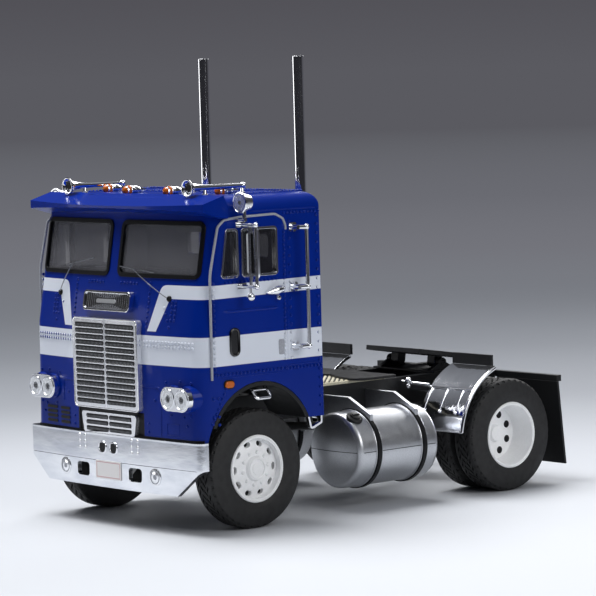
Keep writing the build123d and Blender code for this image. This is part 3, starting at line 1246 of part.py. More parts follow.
with BuildPart() as mudflap_hanger:
    with Locations((0, flap_y, FLAP_TOP_Z)):
        Box(FLAP_OUTER_X * 2, HANGER_DEPTH, HANGER_HEIGHT, align=(Align.CENTER, Align.MIN, Align.MIN))
mudflap_hanger.part.label = "mudflap_hanger"
export_step(mudflap_hanger.part, "parts/mudflap_hanger.step")

with BuildPart() as mudflaps:
    with BuildSketch(Plane.YZ.offset(FLAP_INNER_X)):
        with BuildLine():
            Polyline((flap_y, FLAP_TOP_Z), (flap_y + FLAP_SHEET, FLAP_TOP_Z),
                     (flap_y + FLAP_SHEET + FLAP_LEAN, FLAP_BOTTOM_Z), (flap_y + FLAP_LEAN, FLAP_BOTTOM_Z),
                     close=True)
        make_face()
    extrude(amount=FLAP_OUTER_X - FLAP_INNER_X)
    mirror(about=Plane.YZ)
mudflaps.part.label = "mudflaps"
export_step(mudflaps.part, "parts/mudflaps.step")

# ---------------------------------------------------------------- fifth wheel
coupling_y = REAR_AXLE_Y + COUPLING_BACK
tilt = radians(COUPLING_TILT)
coupling_plane = Plane(origin=(0, coupling_y, COUPLING_Z), x_dir=(1, 0, 0), z_dir=(0, sin(tilt), cos(tilt)))
plate_plane = coupling_plane.offset(COUPLING_TOP)
THROAT_MOUTH = 5.0              # half width of the throat at the rear edge
THROAT_LENGTH = 7.0
PLATE_NOSE_HALF = 8.6
PLATE_NOSE = 4.0                # length of the tapered front corners
PLATE_TAIL_HALF = 7.8
PLATE_TAIL = 5.0
LUG_X = COUPLING_EAR_X - COUPLING_EAR / 2 - SEAT_GAP * 3

with BuildPart() as fifth_wheel_plate:
    with BuildSketch(plate_plane):
        with BuildLine():
            Polyline((PLATE_NOSE_HALF, -COUPLING_FRONT), (COUPLING_HALF_WIDTH, -COUPLING_FRONT + PLATE_NOSE),
                     (COUPLING_HALF_WIDTH, COUPLING_REAR - PLATE_TAIL), (PLATE_TAIL_HALF, COUPLING_REAR),
                     (THROAT_MOUTH, COUPLING_REAR), (THROAT_HALF, COUPLING_REAR - THROAT_LENGTH),
                     (THROAT_HALF, 0), (-THROAT_HALF, 0), (-THROAT_HALF, COUPLING_REAR - THROAT_LENGTH),
                     (-THROAT_MOUTH, COUPLING_REAR), (-PLATE_TAIL_HALF, COUPLING_REAR),
                     (-COUPLING_HALF_WIDTH, COUPLING_REAR - PLATE_TAIL),
                     (-COUPLING_HALF_WIDTH, -COUPLING_FRONT + PLATE_NOSE),
                     (-PLATE_NOSE_HALF, -COUPLING_FRONT), close=True)
        make_face()
        Circle(KINGPIN_RADIUS, mode=Mode.SUBTRACT)
    extrude(amount=-COUPLING_PLATE)
    # lugs under the plate, with the pins that it tilts on
    for side in (-1, 1):
        with BuildSketch(Plane.YZ.offset(side * LUG_X)):
            with Locations((coupling_y, COUPLING_Z)):
                Circle(COUPLING_EAR_RADIUS)
                with Locations(Rotation(0, 0, -COUPLING_TILT)):
                    Rectangle(COUPLING_EAR_RADIUS * 2, COUPLING_TOP - COUPLING_PLATE / 2,
                              align=(Align.CENTER, Align.MIN))
        extrude(amount=-side * COUPLING_EAR * 2)
        with BuildSketch(Plane.YZ.offset(side * LUG_X)):
            with Locations((coupling_y, COUPLING_Z)):
                Circle(COUPLING_PIN_RADIUS)
        extrude(amount=side * (COUPLING_EAR + SEAT_GAP * 3))
fifth_wheel_plate.part.label = "fifth_wheel_plate"
export_step(fifth_wheel_plate.part, "parts/fifth_wheel_plate.step")

BASE_THICKNESS = 0.4
BASE_HALF_LENGTH = 4.0

with BuildPart() as fifth_wheel_bracket:
    for side in (-1, 1):
        with BuildSketch(Plane.YZ.offset(side * COUPLING_EAR_X - COUPLING_EAR / 2)):
            with BuildLine():
                Polyline((coupling_y - BASE_HALF_LENGTH, RAIL_TOP_Z), (coupling_y + BASE_HALF_LENGTH, RAIL_TOP_Z),
                         (coupling_y + BASE_HALF_LENGTH, RAIL_TOP_Z + BASE_THICKNESS),
                         (coupling_y + COUPLING_EAR_RADIUS, COUPLING_Z),
                         (coupling_y - COUPLING_EAR_RADIUS, COUPLING_Z),
                         (coupling_y - BASE_HALF_LENGTH, RAIL_TOP_Z + BASE_THICKNESS), close=True)
            make_face()
            with Locations((coupling_y, COUPLING_Z)):
                Circle(COUPLING_EAR_RADIUS)
                Circle(COUPLING_PIN_RADIUS + FIT, mode=Mode.SUBTRACT)
        extrude(amount=COUPLING_EAR)
    with Locations((0, coupling_y, RAIL_TOP_Z)):
        Box(FRAME_HALF * 2, BASE_HALF_LENGTH * 2, BASE_THICKNESS, align=(Align.CENTER, Align.CENTER, Align.MIN))
fifth_wheel_bracket.part.label = "fifth_wheel_bracket"
export_step(fifth_wheel_bracket.part, "parts/fifth_wheel_bracket.step")
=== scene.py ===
# %% [markdown]
# # Dressing a small cab-over tractor
# The solids of this die-cast display model come from a CAD file, in metres, with the wheels on z = 0 and the
# truck facing -Y. This lesson gives each of them its finish and adds what is too small for the solids: ribs,
# rivets, lenses, wipers, tread. Every piece rides on a moving body of the model, so it rolls or tilts with it.

# %% Load the solids
import json
import math

import bmesh
import bpy
import numpy as np
from mathutils import Matrix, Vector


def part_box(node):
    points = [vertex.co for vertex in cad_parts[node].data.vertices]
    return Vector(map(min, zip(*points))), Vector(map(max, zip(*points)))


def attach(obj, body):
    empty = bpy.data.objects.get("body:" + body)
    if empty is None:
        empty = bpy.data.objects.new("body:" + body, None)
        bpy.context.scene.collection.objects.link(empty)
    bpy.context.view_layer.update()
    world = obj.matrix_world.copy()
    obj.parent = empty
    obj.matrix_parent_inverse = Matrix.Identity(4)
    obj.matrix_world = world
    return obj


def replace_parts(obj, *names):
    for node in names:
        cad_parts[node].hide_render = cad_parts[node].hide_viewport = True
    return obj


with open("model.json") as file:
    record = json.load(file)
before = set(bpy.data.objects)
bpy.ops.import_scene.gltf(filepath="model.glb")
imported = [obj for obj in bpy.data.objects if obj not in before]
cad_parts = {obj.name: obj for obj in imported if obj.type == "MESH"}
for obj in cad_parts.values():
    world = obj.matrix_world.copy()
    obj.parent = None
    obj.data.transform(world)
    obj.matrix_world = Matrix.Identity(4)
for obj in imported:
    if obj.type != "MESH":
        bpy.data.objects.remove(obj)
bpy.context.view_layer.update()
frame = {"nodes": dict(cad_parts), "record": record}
MM = 0.001
BODY_OF = {node: body for body, nodes in frame["record"]["behaviour"]["bodies"].items() for node in nodes}

# %% [markdown]
# ## Sizes of the real model
# All sizes below are millimetres. The places behind the front axle are easier to think about than the file's
# own Y, so FRONT_Y carries one to the other. The cab's front is one surface that many small parts lie on, so it is
# a function: give it a place across and a height, and it says how far forward the paint is there.

# %% Places
FRONT_Y, REAR_Y = -34.5, 35.7           # the two axles, along the truck
AXLE_Z = 12.2                           # their height
CAB_HALF = 28.35                        # half the cab's width
NOSE_Y, CAB_REAR_Y = FRONT_Y - 17.0, -18.0      # the front and the rear of the cab
BUMPER_Y = NOSE_Y - 0.8                 # the middle of the bumper's face
BELT_Z, EAVES_Z, RAKE = 41.0, 64.4, 4.2         # between these heights the front leans back by RAKE
LOW_Z, LOW_BOW, BOW = 19.0, 1.5, 2.1    # how far the front bows, at its foot and from the belt up
CORNER = 4.0                            # radius of the cab's upright corners


def cab_front(x, z):
    """Y of the cab's front at height z: a shallow arc through the nose and both sides, that leans back above the
    belt line, with a quarter-round corner of radius CORNER where it meets the side."""
    x = np.abs(np.asarray(x, float))
    z = np.asarray(z, float)
    lean = RAKE * np.clip((z - BELT_Z) / (EAVES_Z - BELT_Z), 0, 1)
    bow = LOW_BOW + (BOW - LOW_BOW) * np.clip((z - LOW_Z) / (BELT_Z - LOW_Z), 0, 1)
    radius = (CAB_HALF ** 2 + bow ** 2) / (2 * bow)
    reach = CAB_HALF - CORNER
    centre = radius - np.sqrt((radius - CORNER) ** 2 - reach ** 2)
    arc = radius - np.sqrt(radius ** 2 - x ** 2)
    corner = centre - np.sqrt(np.clip(CORNER ** 2 - (x - reach) ** 2, 0, None))
    return NOSE_Y + lean + np.where(x < reach * radius / (radius - CORNER), arc, corner)


print("front at the belt, middle and corner:", cab_front((0, 26), (41, 41)).round(2))

# %% [markdown]
# ## Surfaces from numbers
# Blender can make shapes by hand, but a small model is mostly tubes, turned shapes and plates, and each of those
# is one formula. So every new piece is a grid of points worked out at once, and a mesh is just those points and
# the squares between neighbours. Such a set of points and faces is called a patch here.

# %% Grid to mesh
def squares(rows, columns, wrap_rows=False, wrap_columns=False):
    """Corner numbers of the squares of a grid whose point (i, j) is number i * columns + j."""
    i, j = np.meshgrid(np.arange(rows - (not wrap_rows)), np.arange(columns - (not wrap_columns)), indexing="ij")
    ahead, across = (i + 1) % rows, (j + 1) % columns
    corners = (i * columns + j, i * columns + across, ahead * columns + across, ahead * columns + j)
    return np.stack(corners, -1).reshape(-1, 4)


def joined(*patches):
    """One patch from several: their points one after another, their faces renumbered to match."""
    points, faces, offset = [], [], 0
    for patch_points, patch_faces in patches:
        patch_points = np.asarray(patch_points, float).reshape(-1, 3)
        points.append(patch_points)
        faces += [tuple(int(n) + offset for n in face) for face in patch_faces]
        offset += len(patch_points)
    return np.concatenate(points), faces


def mirrored(patch):
    """A patch and its reflection in the truck's middle plane, with the reflected faces turned to point outwards."""
    points, faces = patch
    return joined(patch, (np.asarray(points) * (-1, 1, 1), [tuple(face)[::-1] for face in faces]))


print("a 3 by 3 grid has", len(squares(3, 3)), "squares")

# %% [markdown]
# ### From a patch to a piece
# A patch becomes an object in two steps. First its doubled points are merged, so that a pole or a seam is closed,
# and its faces are made to point outwards. Then it is shaded smooth except where two faces meet sharply. A real
# edge is never perfectly sharp, so a Bevel modifier can round those edges: it catches the thin line of light that
# makes a small object look solid.

# %% Mesh to piece
def dress(name, mesh, work, material, body, edge, smooth):
    """Writes the edited mesh, shades it smooth except where faces meet at over `smooth` degrees, rounds those
    edges by `edge` millimetres, and puts the object on its body."""
    for face in work.faces:
        face.smooth = True
    for border in work.edges:
        border.smooth = len(border.link_faces) == 2 and border.calc_face_angle(0) < math.radians(smooth)
    work.to_mesh(mesh)
    work.free()
    mesh.materials.append(material)
    obj = bpy.data.objects.new(name, mesh)
    bpy.context.scene.collection.objects.link(obj)
    if edge:
        bevel = obj.modifiers.new("rounded edges", "BEVEL")
        bevel.width = edge * MM
        bevel.segments = 2
        bevel.limit_method = "ANGLE"
        bevel.angle_limit = math.radians(smooth)
        bevel.harden_normals = True
    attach(obj, body)
    return obj


def piece(name, patch, material, body, edge=0.0, smooth=40.0):
    """A finished object from a patch in millimetres: doubles merged, faces pointing outwards, then dressed."""
    points, faces = patch
    mesh = bpy.data.meshes.new(name)
    mesh.from_pydata((np.asarray(points) * MM).tolist(), [], [list(map(int, face)) for face in faces])
    work = bmesh.new()
    work.from_mesh(mesh)
    bmesh.ops.remove_doubles(work, verts=work.verts, dist=1e-7)
    bmesh.ops.dissolve_degenerate(work, edges=work.edges, dist=1e-8)
    bmesh.ops.recalc_face_normals(work, faces=work.faces)
    return dress(name, mesh, work, material, body, edge, smooth)


# %% [markdown]
# ## Solids with softened edges
# The CAD file's triangles don't share corners, so light can't flow over them. A merged copy of a solid can be
# shaded smooth and have its edges rounded by a few hundredths of a millimetre, as a moulded or cast edge is. The
# copy stands in for the solid.

# %% Softened copies
SAME_CORNER = 2e-7              # corners closer than this, in metres, are the same corner


def softened(node, material, edge=0.08, smooth=32.0):
    """A copy of a solid with its loose triangles merged, flat areas joined into single faces, and rounded edges."""
    source = frame["nodes"][node].data
    points = np.empty(len(source.vertices) * 3, np.float32)
    source.vertices.foreach_get("co", points)
    corners = np.empty(len(source.loops), np.int32)
    source.loops.foreach_get("vertex_index", corners)
    keys = np.round(points.reshape(-1, 3) / SAME_CORNER).astype(np.int64)
    first, number = np.unique(keys, axis=0, return_index=True, return_inverse=True)[1:]
    triangles = number.reshape(-1)[corners].reshape(-1, 3)
    a, b, c = triangles.T
    whole = (a != b) & (b != c) & (c != a)
    mesh = bpy.data.meshes.new(node + "_finished")
    mesh.from_pydata(points.reshape(-1, 3)[first].tolist(), [], triangles[whole].tolist())
    work = bmesh.new()
    work.from_mesh(mesh)
    bmesh.ops.dissolve_limit(work, angle_limit=math.radians(0.4), verts=work.verts, edges=work.edges)
    obj = dress(node + "_finished", mesh, work, material, BODY_OF[node], edge, smooth)
    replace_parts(obj, node)


print("corners closer than", SAME_CORNER * 1e6, "micrometres are joined")


# %% [markdown]
# ## Colours and materials
# A colour picked on a screen is an sRGB hex value, and Blender mixes light in linear numbers, so one function
# turns the first into the second. Another adds a node with its settings and its links. Every material is then a
# short list of such nodes round a Principled shader.

# %% Colour and node helpers
def colour(code):
    """Linear RGBA of an sRGB hex value: c / 12.92 where c is small, else ((c + 0.055) / 1.055) to the power 2.4."""
    c = np.array([int(code[i:i + 2], 16) / 255 for i in (1, 3, 5)])
    return (*np.where(c <= 0.04045, c / 12.92, ((c + 0.055) / 1.055) ** 2.4), 1.0)


def node(tree, kind, inputs=None, **settings):
    """Adds a node of a kind, sets its properties, and fills its inputs: a number goes in as it is, a socket is
    linked, and a node is linked by its first output."""
    made = tree.nodes.new(kind)
    for name, value in settings.items():
        setattr(made, name, value)
    for name, value in (inputs if isinstance(inputs, dict) else dict(enumerate(inputs or ()))).items():
        if isinstance(value, bpy.types.Node):
            value = value.outputs[0]
        if isinstance(value, bpy.types.NodeSocket):
            tree.links.new(value, made.inputs[name])
        else:
            made.inputs[name].default_value = value
    return made


SUM = "ShaderNodeMath"          # the kind of node that every sum of a pattern uses


def new_material(name, **sockets):
    """A material with one Principled shader whose constant sockets are set here. Returns it, its tree, its shader."""
    material = bpy.data.materials.new(name)
    material.use_nodes = True
    shader = material.node_tree.nodes["Principled BSDF"]
    for socket, value in sockets.items():
        shader.inputs[socket.replace("_", " ").title().replace("Ior", "IOR")].default_value = value
    return material, material.node_tree, shader


def grain(tree, shader, size, height, detail=2.0, roughness=None, stretch=(1, 1, 1)):
    """A bump of noise whose bumps are `size` millimetres apart and `height` millimetres deep, and, where
    `roughness` gives two values, a slow drift of the gloss between them. Returns the noise."""
    place = node(tree, "ShaderNodeTexCoord")
    scaled = node(tree, "ShaderNodeMapping", {"Vector": place.outputs["Object"], "Scale": stretch})
    noise = node(tree, "ShaderNodeTexNoise", {"Vector": scaled.outputs[0], "Scale": 1 / (size * MM), "Detail": detail})
    bump = node(tree, "ShaderNodeBump", {"Height": noise.outputs[0], "Distance": height * MM, "Strength": 1.0})
    tree.links.new(bump.outputs[0], shader.inputs["Normal"])
    if roughness:
        # the gloss changes about eight times as slowly as the bumps do
        slow = node(tree, "ShaderNodeTexNoise", {"Vector": scaled.outputs[0], "Scale": 0.12 / (size * MM),
                                                 "Detail": 3.0})
        drift = node(tree, "ShaderNodeMapRange", {"Value": slow.outputs[0], "From Min": 0.3, "From Max": 0.7,
                                                  "To Min": roughness[0], "To Max": roughness[1]})
        tree.links.new(drift.outputs[0], shader.inputs["Roughness"])
    return noise


def tinted(tree, shader, noise, low, high):
    """Lets the base colour drift between two close colours as a noise does."""
    ramp = node(tree, "ShaderNodeMapRange", {"Value": noise.outputs[0], "From Min": 0.35, "From Max": 0.65})
    mix = node(tree, "ShaderNodeMix", {"Factor": ramp, 6: colour(low), 7: colour(high)}, data_type="RGBA")
    tree.links.new(mix.outputs[2], shader.inputs["Base Color"])


print("blue in linear numbers:", [round(float(part), 3) for part in colour("#01237F")[:3]])

# %% [markdown]
# ### Sprayed enamel
# The cab is die-cast zinc, sprayed blue with two white bands masked on, then clear lacquered. Enamel is glossy
# with a very slight ripple. The bands are worked out from the place on the cab in millimetres: between two
# heights along the sides, and between two slanting lines where the upper one turns down the front. They could be
# painted on an image, but sums stay sharp at any size and fit the shape exactly.

# %% Bands
UPPER_BAND, LOWER_BAND = (47.4, 50.1), (34.0, 39.95)
CLIMB = 0.4                     # the upper band climbs by this much from the front to the rear of the cab
LEG_FOOT_Z = 40.8               # its leg stands on the front above this height
LEG_INNER_X, INNER_LEAN = 12.6, 0.318   # and between two slanting lines: where each starts, and how it leans
LEG_OUTER_X, OUTER_LEAN = 15.2, 0.47
TURN_SOFTNESS = 2.2             # how gently the band turns into its leg
EDGE = 0.04                     # softness of a sprayed edge


def banded(tree, place):
    """1 where a point lies in one of the bands, and 0 outside: each band is the smallest of its distances to its
    own borders, and a point is in it where that is above 0."""
    axes = node(tree, "ShaderNodeSeparateXYZ", {"Vector": place.outputs["Object"]})
    across = node(tree, SUM, [axes.outputs[0]], operation="ABSOLUTE")
    x = node(tree, SUM, [across, 1 / MM], operation="MULTIPLY")
    y = node(tree, SUM, [axes.outputs[1], 1 / MM], operation="MULTIPLY")
    z = node(tree, SUM, [axes.outputs[2], 1 / MM], operation="MULTIPLY")
    # the upper band: its height above the cab's own climbing line, then its leg between the two slanting lines
    depth = CAB_REAR_Y - NOSE_Y
    climb = node(tree, SUM, [y, CLIMB / depth, -CLIMB * NOSE_Y / depth], operation="MULTIPLY_ADD")
    level = node(tree, SUM, [z, climb], operation="SUBTRACT")
    inner_line = node(tree, SUM, [z, INNER_LEAN, LEG_INNER_X - INNER_LEAN * LEG_FOOT_Z], operation="MULTIPLY_ADD")
    outer_line = node(tree, SUM, [z, OUTER_LEAN, LEG_OUTER_X - OUTER_LEAN * LEG_FOOT_Z], operation="MULTIPLY_ADD")
    past_inner = node(tree, SUM, [x, inner_line], operation="SUBTRACT")
    within_outer = node(tree, SUM, [outer_line, x], operation="SUBTRACT")
    above_foot = node(tree, SUM, [z, LEG_FOOT_Z], operation="SUBTRACT")
    under_top = node(tree, SUM, [UPPER_BAND[1], level], operation="SUBTRACT")
    over_bottom = node(tree, SUM, [level, UPPER_BAND[0]], operation="SUBTRACT")
    turned_edge = node(tree, SUM, [under_top, past_inner, TURN_SOFTNESS], operation="SMOOTH_MIN")
    band_or_leg = node(tree, SUM, [over_bottom, within_outer], operation="MAXIMUM")
    leg_and_foot = node(tree, SUM, [band_or_leg, above_foot], operation="MINIMUM")
    upper = node(tree, SUM, [turned_edge, leg_and_foot], operation="MINIMUM")
    # the lower band lies between two plain heights
    over_low = node(tree, SUM, [z, LOWER_BAND[0]], operation="SUBTRACT")
    under_high = node(tree, SUM, [LOWER_BAND[1], z], operation="SUBTRACT")
    lower = node(tree, SUM, [over_low, under_high], operation="MINIMUM")
    either = node(tree, SUM, [upper, lower], operation="MAXIMUM")
    bands = node(tree, SUM, [either, 1 / EDGE, 0.5], operation="MULTIPLY_ADD", use_clamp=True)
    before_rear = node(tree, SUM, [y, CAB_REAR_Y - 0.06], operation="LESS_THAN")
    return node(tree, SUM, [bands, before_rear], operation="MULTIPLY")


print("bands:", [round(high - low, 2) for low, high in (UPPER_BAND, LOWER_BAND)], "mm wide")

# %% [markdown]
# ### Enamel over primer
# Only the outside of the shell was sprayed and masked. Inside it stays in grey primer, and a face counts as outer
# where its normal leads away from a point in the middle of the cab. The gloss comes from a clear coat over the
# colour, and only the coat is rippled.

# %% Enamel with its bands
BLUE, WHITE, PRIMER = "#01237F", "#D6DBE5", "#6E6E74"
INSIDE = np.array((0.0, FRONT_Y, 40.0)) * MM    # a point that every outer face of the cab looks away from
ENAMEL_RIPPLE = 0.6             # millimetres from crest to crest


def enamel_with_bands(name, primer_inside):
    """Blue enamel, white where a point lies in one of the bands, and grey primer on the faces that look inwards."""
    material, tree, shader = new_material(name, roughness=0.3, ior=1.5, specular_ior_level=0.08,
                                          coat_weight=0.17, coat_roughness=0.05, coat_ior=1.5)
    place = node(tree, "ShaderNodeTexCoord")
    from_middle = node(tree, "ShaderNodeVectorMath", [place.outputs["Object"], tuple(INSIDE)], operation="SUBTRACT")
    facing = node(tree, "ShaderNodeVectorMath", [from_middle, place.outputs["Normal"]], operation="DOT_PRODUCT")
    outer_face = node(tree, SUM, [facing.outputs["Value"], 0.0], operation="GREATER_THAN")
    masked = node(tree, SUM, [banded(tree, place), outer_face], operation="MULTIPLY")
    sprayed = node(tree, "ShaderNodeMix", {"Factor": masked, 6: colour(BLUE), 7: colour(WHITE)}, data_type="RGBA")
    both = node(tree, "ShaderNodeMix", {"Factor": outer_face, 6: colour(PRIMER), 7: sprayed.outputs[2]},
                data_type="RGBA")
    tree.links.new(both.outputs[2] if primer_inside else sprayed.outputs[2], shader.inputs["Base Color"])
    # the ripple of sprayed paint shows in the lacquer only
    ripple = node(tree, "ShaderNodeTexNoise", {"Vector": place.outputs["Object"], "Scale": 1 / (ENAMEL_RIPPLE * MM),
                                               "Detail": 1.0})
    bump = node(tree, "ShaderNodeBump", {"Height": ripple.outputs[0], "Distance": 0.004 * MM, "Strength": 1.0})
    tree.links.new(bump.outputs[0], shader.inputs["Coat Normal"])
    return material


enamel = enamel_with_bands("blue_enamel_sprayed", False)
cab_paint = enamel_with_bands("blue_enamel_over_primer", True)
print("enamel:", len(enamel.node_tree.nodes), "nodes")

# %% [markdown]
# ### Chrome
# The bright parts are ABS with aluminium evaporated on and lacquered, which gives a full mirror with a faint
# waviness from the moulding. One recipe doesn't fit them all. A thin plating lets the plastic's white through, a
# wide panel sinks unevenly so that its mirror image wavers, and a thick one turns cloudy. So there are four, and
# they differ in how large and how deep their waves are.

# %% Chrome
chrome, tree, shader = new_material("chrome_on_abs", base_color=colour("#F1F2F5"), metallic=1.0, roughness=0.07)
# the eye sees a mirror whose image bends a little every two millimetres
grain(tree, shader, 1.8, 0.006, roughness=(0.05, 0.12))

# the grilles are plated thinner and lacquered over, so the white plastic beneath still shows through
plated, tree, shader = new_material("chrome_on_abs_satin", base_color=colour("#F4F5F8"), metallic=0.8,
                                    roughness=0.16)
grain(tree, shader, 1.2, 0.01, roughness=(0.12, 0.2))

# the wide thin fender panels sank unevenly, so their mirror image wavers
rippled, tree, shader = new_material("chrome_on_abs_rippled", base_color=colour("#DFE1E6"), metallic=1.0,
                                     roughness=0.08)
grain(tree, shader, 2.4, 0.05, detail=3.0, roughness=(0.05, 0.14))
print("mirrors:", chrome.name, plated.name, rippled.name)

# %% [markdown]
# ### Cloudy chrome
# The bumper is the largest chromed moulding. Its wide face is cloudy where it sank in the mould, in streaks that
# run along it, so its noise is stretched sideways. Above its crease the face rolls back towards the top edge and
# mirrors the dark of the room there. The solid is flat, so a bump that rises with height stands in for the roll.

# %% Cloudy chrome of the bumper
ROLL_FROM, ROLL_TO, ROLL_DEPTH = 13.6, 18.6, 0.2        # heights, and how far back the face rolls between them
cloudy, tree, shader = new_material("chrome_on_abs_cloudy", metallic=1.0, roughness=0.12)
clouds = grain(tree, shader, 2.4, 0.03, detail=3.0, roughness=(0.06, 0.16), stretch=(0.3, 1, 1))
tinted(tree, shader, clouds, "#DADDE4", "#F1F3F6")
place = node(tree, "ShaderNodeTexCoord")
height = node(tree, "ShaderNodeSeparateXYZ", [place.outputs["Object"]])
rise = node(tree, "ShaderNodeMapRange", {"Value": height.outputs[2], "From Min": ROLL_FROM * MM,
                                         "From Max": ROLL_TO * MM})
rolled = node(tree, SUM, [rise, 1.2], operation="POWER")
drop = node(tree, "ShaderNodeBump", {"Height": rolled, "Distance": ROLL_DEPTH * MM, "Strength": 1.0,
                                     "Normal": shader.inputs["Normal"].links[0].from_socket}, invert=True)
tree.links.new(drop.outputs[0], shader.inputs["Normal"])
print("cloudy chrome:", len(tree.nodes), "nodes")

# %% [markdown]
# ### Silver paint and steel
# The tanks are sprayed with silver paint, whose flakes scatter the highlight into a soft pale band. Real flakes
# are a few hundredths of a millimetre across and would not show, so they are drawn several times that size. The
# axle pins are drawn steel, with fine lines along them, so their noise is stretched along X and, like the flakes,
# coarser than real.

# %% Silver paint and steel
FLAKE, DRAWN_LINE = 0.15, 0.12          # millimetres from one to the next
silver, tree, shader = new_material("silver_paint_sprayed", metallic=1.0, roughness=0.25, coat_weight=0.2,
                                    coat_roughness=0.15)
flakes = grain(tree, shader, FLAKE, 0.002, roughness=(0.3, 0.38))
tinted(tree, shader, flakes, "#B6B8BC", "#C8CACE")

# the eye sees a dull grey metal whose highlight is drawn out into a line
steel, tree, shader = new_material("steel_drawn", base_color=colour("#9A9CA0"), metallic=1.0, roughness=0.3)
grain(tree, shader, DRAWN_LINE, 0.004, stretch=(0.1, 1, 1), roughness=(0.25, 0.38))
print("flakes", FLAKE, "mm apart, drawing lines", DRAWN_LINE, "mm apart")

# %% [markdown]
# ### Plastics and rubber
# Wheels are white moulded ABS, the chassis black ABS with a satin mould texture, the tyres soft vinyl, which is
# duller and shows a fine grain. The inside of the cab is grey ABS and the deck a cream one. A moulding is never
# quite even in colour, so each of them drifts between two close values. Real mould texture and pores are a few
# hundredths of a millimetre across, so their patterns are drawn about five times as coarse, to show.

# %% Plastics
# name, two colours, roughness, IOR, specular level, grain size and depth in mm, detail, range of roughness
PLASTICS = (
    # clean and glossy enough to show a soft highlight
    ("white_abs_moulded", "#F2F3F3", "#F6F6F7", 0.38, 1.53, 0.5, 0.5, 0.0015, 2.0, (0.34, 0.42)),
    # the satin texture of the mould turns the highlight into a grey sheen
    ("black_abs_moulded", "#0E0F11", "#141517", 0.42, 1.53, 0.3, 0.22, 0.008, 2.0, (0.36, 0.5)),
    # soft and matt, with pores that break the light up
    ("black_vinyl_tyre", "#121213", "#1A1A1B", 0.55, 1.5, 0.5, 0.16, 0.012, 4.0, (0.55, 0.72)),
    # brushed-on black, a little uneven from the brush
    ("black_enamel_satin", "#08080A", "#0F0F12", 0.4, 1.5, 0.2, 0.4, 0.006, 2.0, (0.32, 0.48)),
    # pad-printed: flat, thin and slightly grainy
    ("silver_grey_paint_printed", "#8E9199", "#A3A6AE", 0.4, 1.5, 0.5, 0.2, 0.004, 2.0, (0.35, 0.5)),
    # matt inside the cab, so that it stays quiet behind the windows
    ("grey_abs_moulded", "#6A6C70", "#7B7D81", 0.5, 1.53, 0.5, 0.3, 0.01, 2.0, (0.45, 0.6)),
    # a little yellowed and dull, like an old household plastic
    ("cream_abs_moulded", "#B9B39C", "#CCC6B0", 0.45, 1.53, 0.5, 0.3, 0.008, 2.0, (0.4, 0.55)),
)
mouldings = []
for name, low, high, gloss, ior, level, size, depth, detail, drift in PLASTICS:
    made, tree, shader = new_material(name, roughness=gloss, ior=ior, specular_ior_level=level)
    tinted(tree, shader, grain(tree, shader, size, depth, detail=detail, roughness=drift), low, high)
    mouldings.append(made)
white_abs, black_abs, vinyl, gasket, grey_paint, grey_abs, cream_abs = mouldings
print(len(mouldings), "plastics and paints")

# %% [markdown]
# ### Clear and amber plastic
# Windows and lenses are polystyrene, with a refractive index of 1.59 and a polished face. Blender could bend the
# light through it, but a thin pane hardly does, so each is a smooth surface that is partly see-through: clear for
# lenses and the rear pane, with a grey veil for the windscreens that is a painted reflection, and dark for the side
# windows, as painted shade of the cab behind them. The amber lamps are the same plastic, dyed through.

# %% Clear plastics
clear, tree, shader = new_material("clear_polystyrene", base_color=colour("#C9CCD2"), roughness=0.04, ior=1.59,
                                   alpha=0.16)
grain(tree, shader, 4.0, 0.002)
# a windscreen mirrors the room, and its grey veil over what is behind it is a painted reflection
reflection_veiled_glass, tree, shader = new_material("polystyrene_painted_reflection", base_color=colour("#7C7C82"), roughness=0.05, ior=1.59,
                                    alpha=0.42)
# a side window is darkened as painted shade of the cab behind it, so it shows little but its own reflection
shaded, tree, shader = new_material("polystyrene_darkened_as_painted_shade", base_color=colour("#26262C"), roughness=0.05, ior=1.59,
                                    alpha=0.62)
grain(tree, shader, 4.0, 0.004)
# dyed through, so it looks deep and a little waxy
amber, tree, shader = new_material("amber_polystyrene", base_color=colour("#B85A0A"), roughness=0.16, ior=1.59)
grain(tree, shader, 0.5, 0.01)
print(len(bpy.data.materials), "materials")

# %% [markdown]
# ## The solids that keep their shape
# Each of these only needs its finish and softened edges. The last number of a row is the radius of its rounded
# edges: large for a soft moulding such as the seats, small for a thin plate, and none where a solid is all
# curves already.

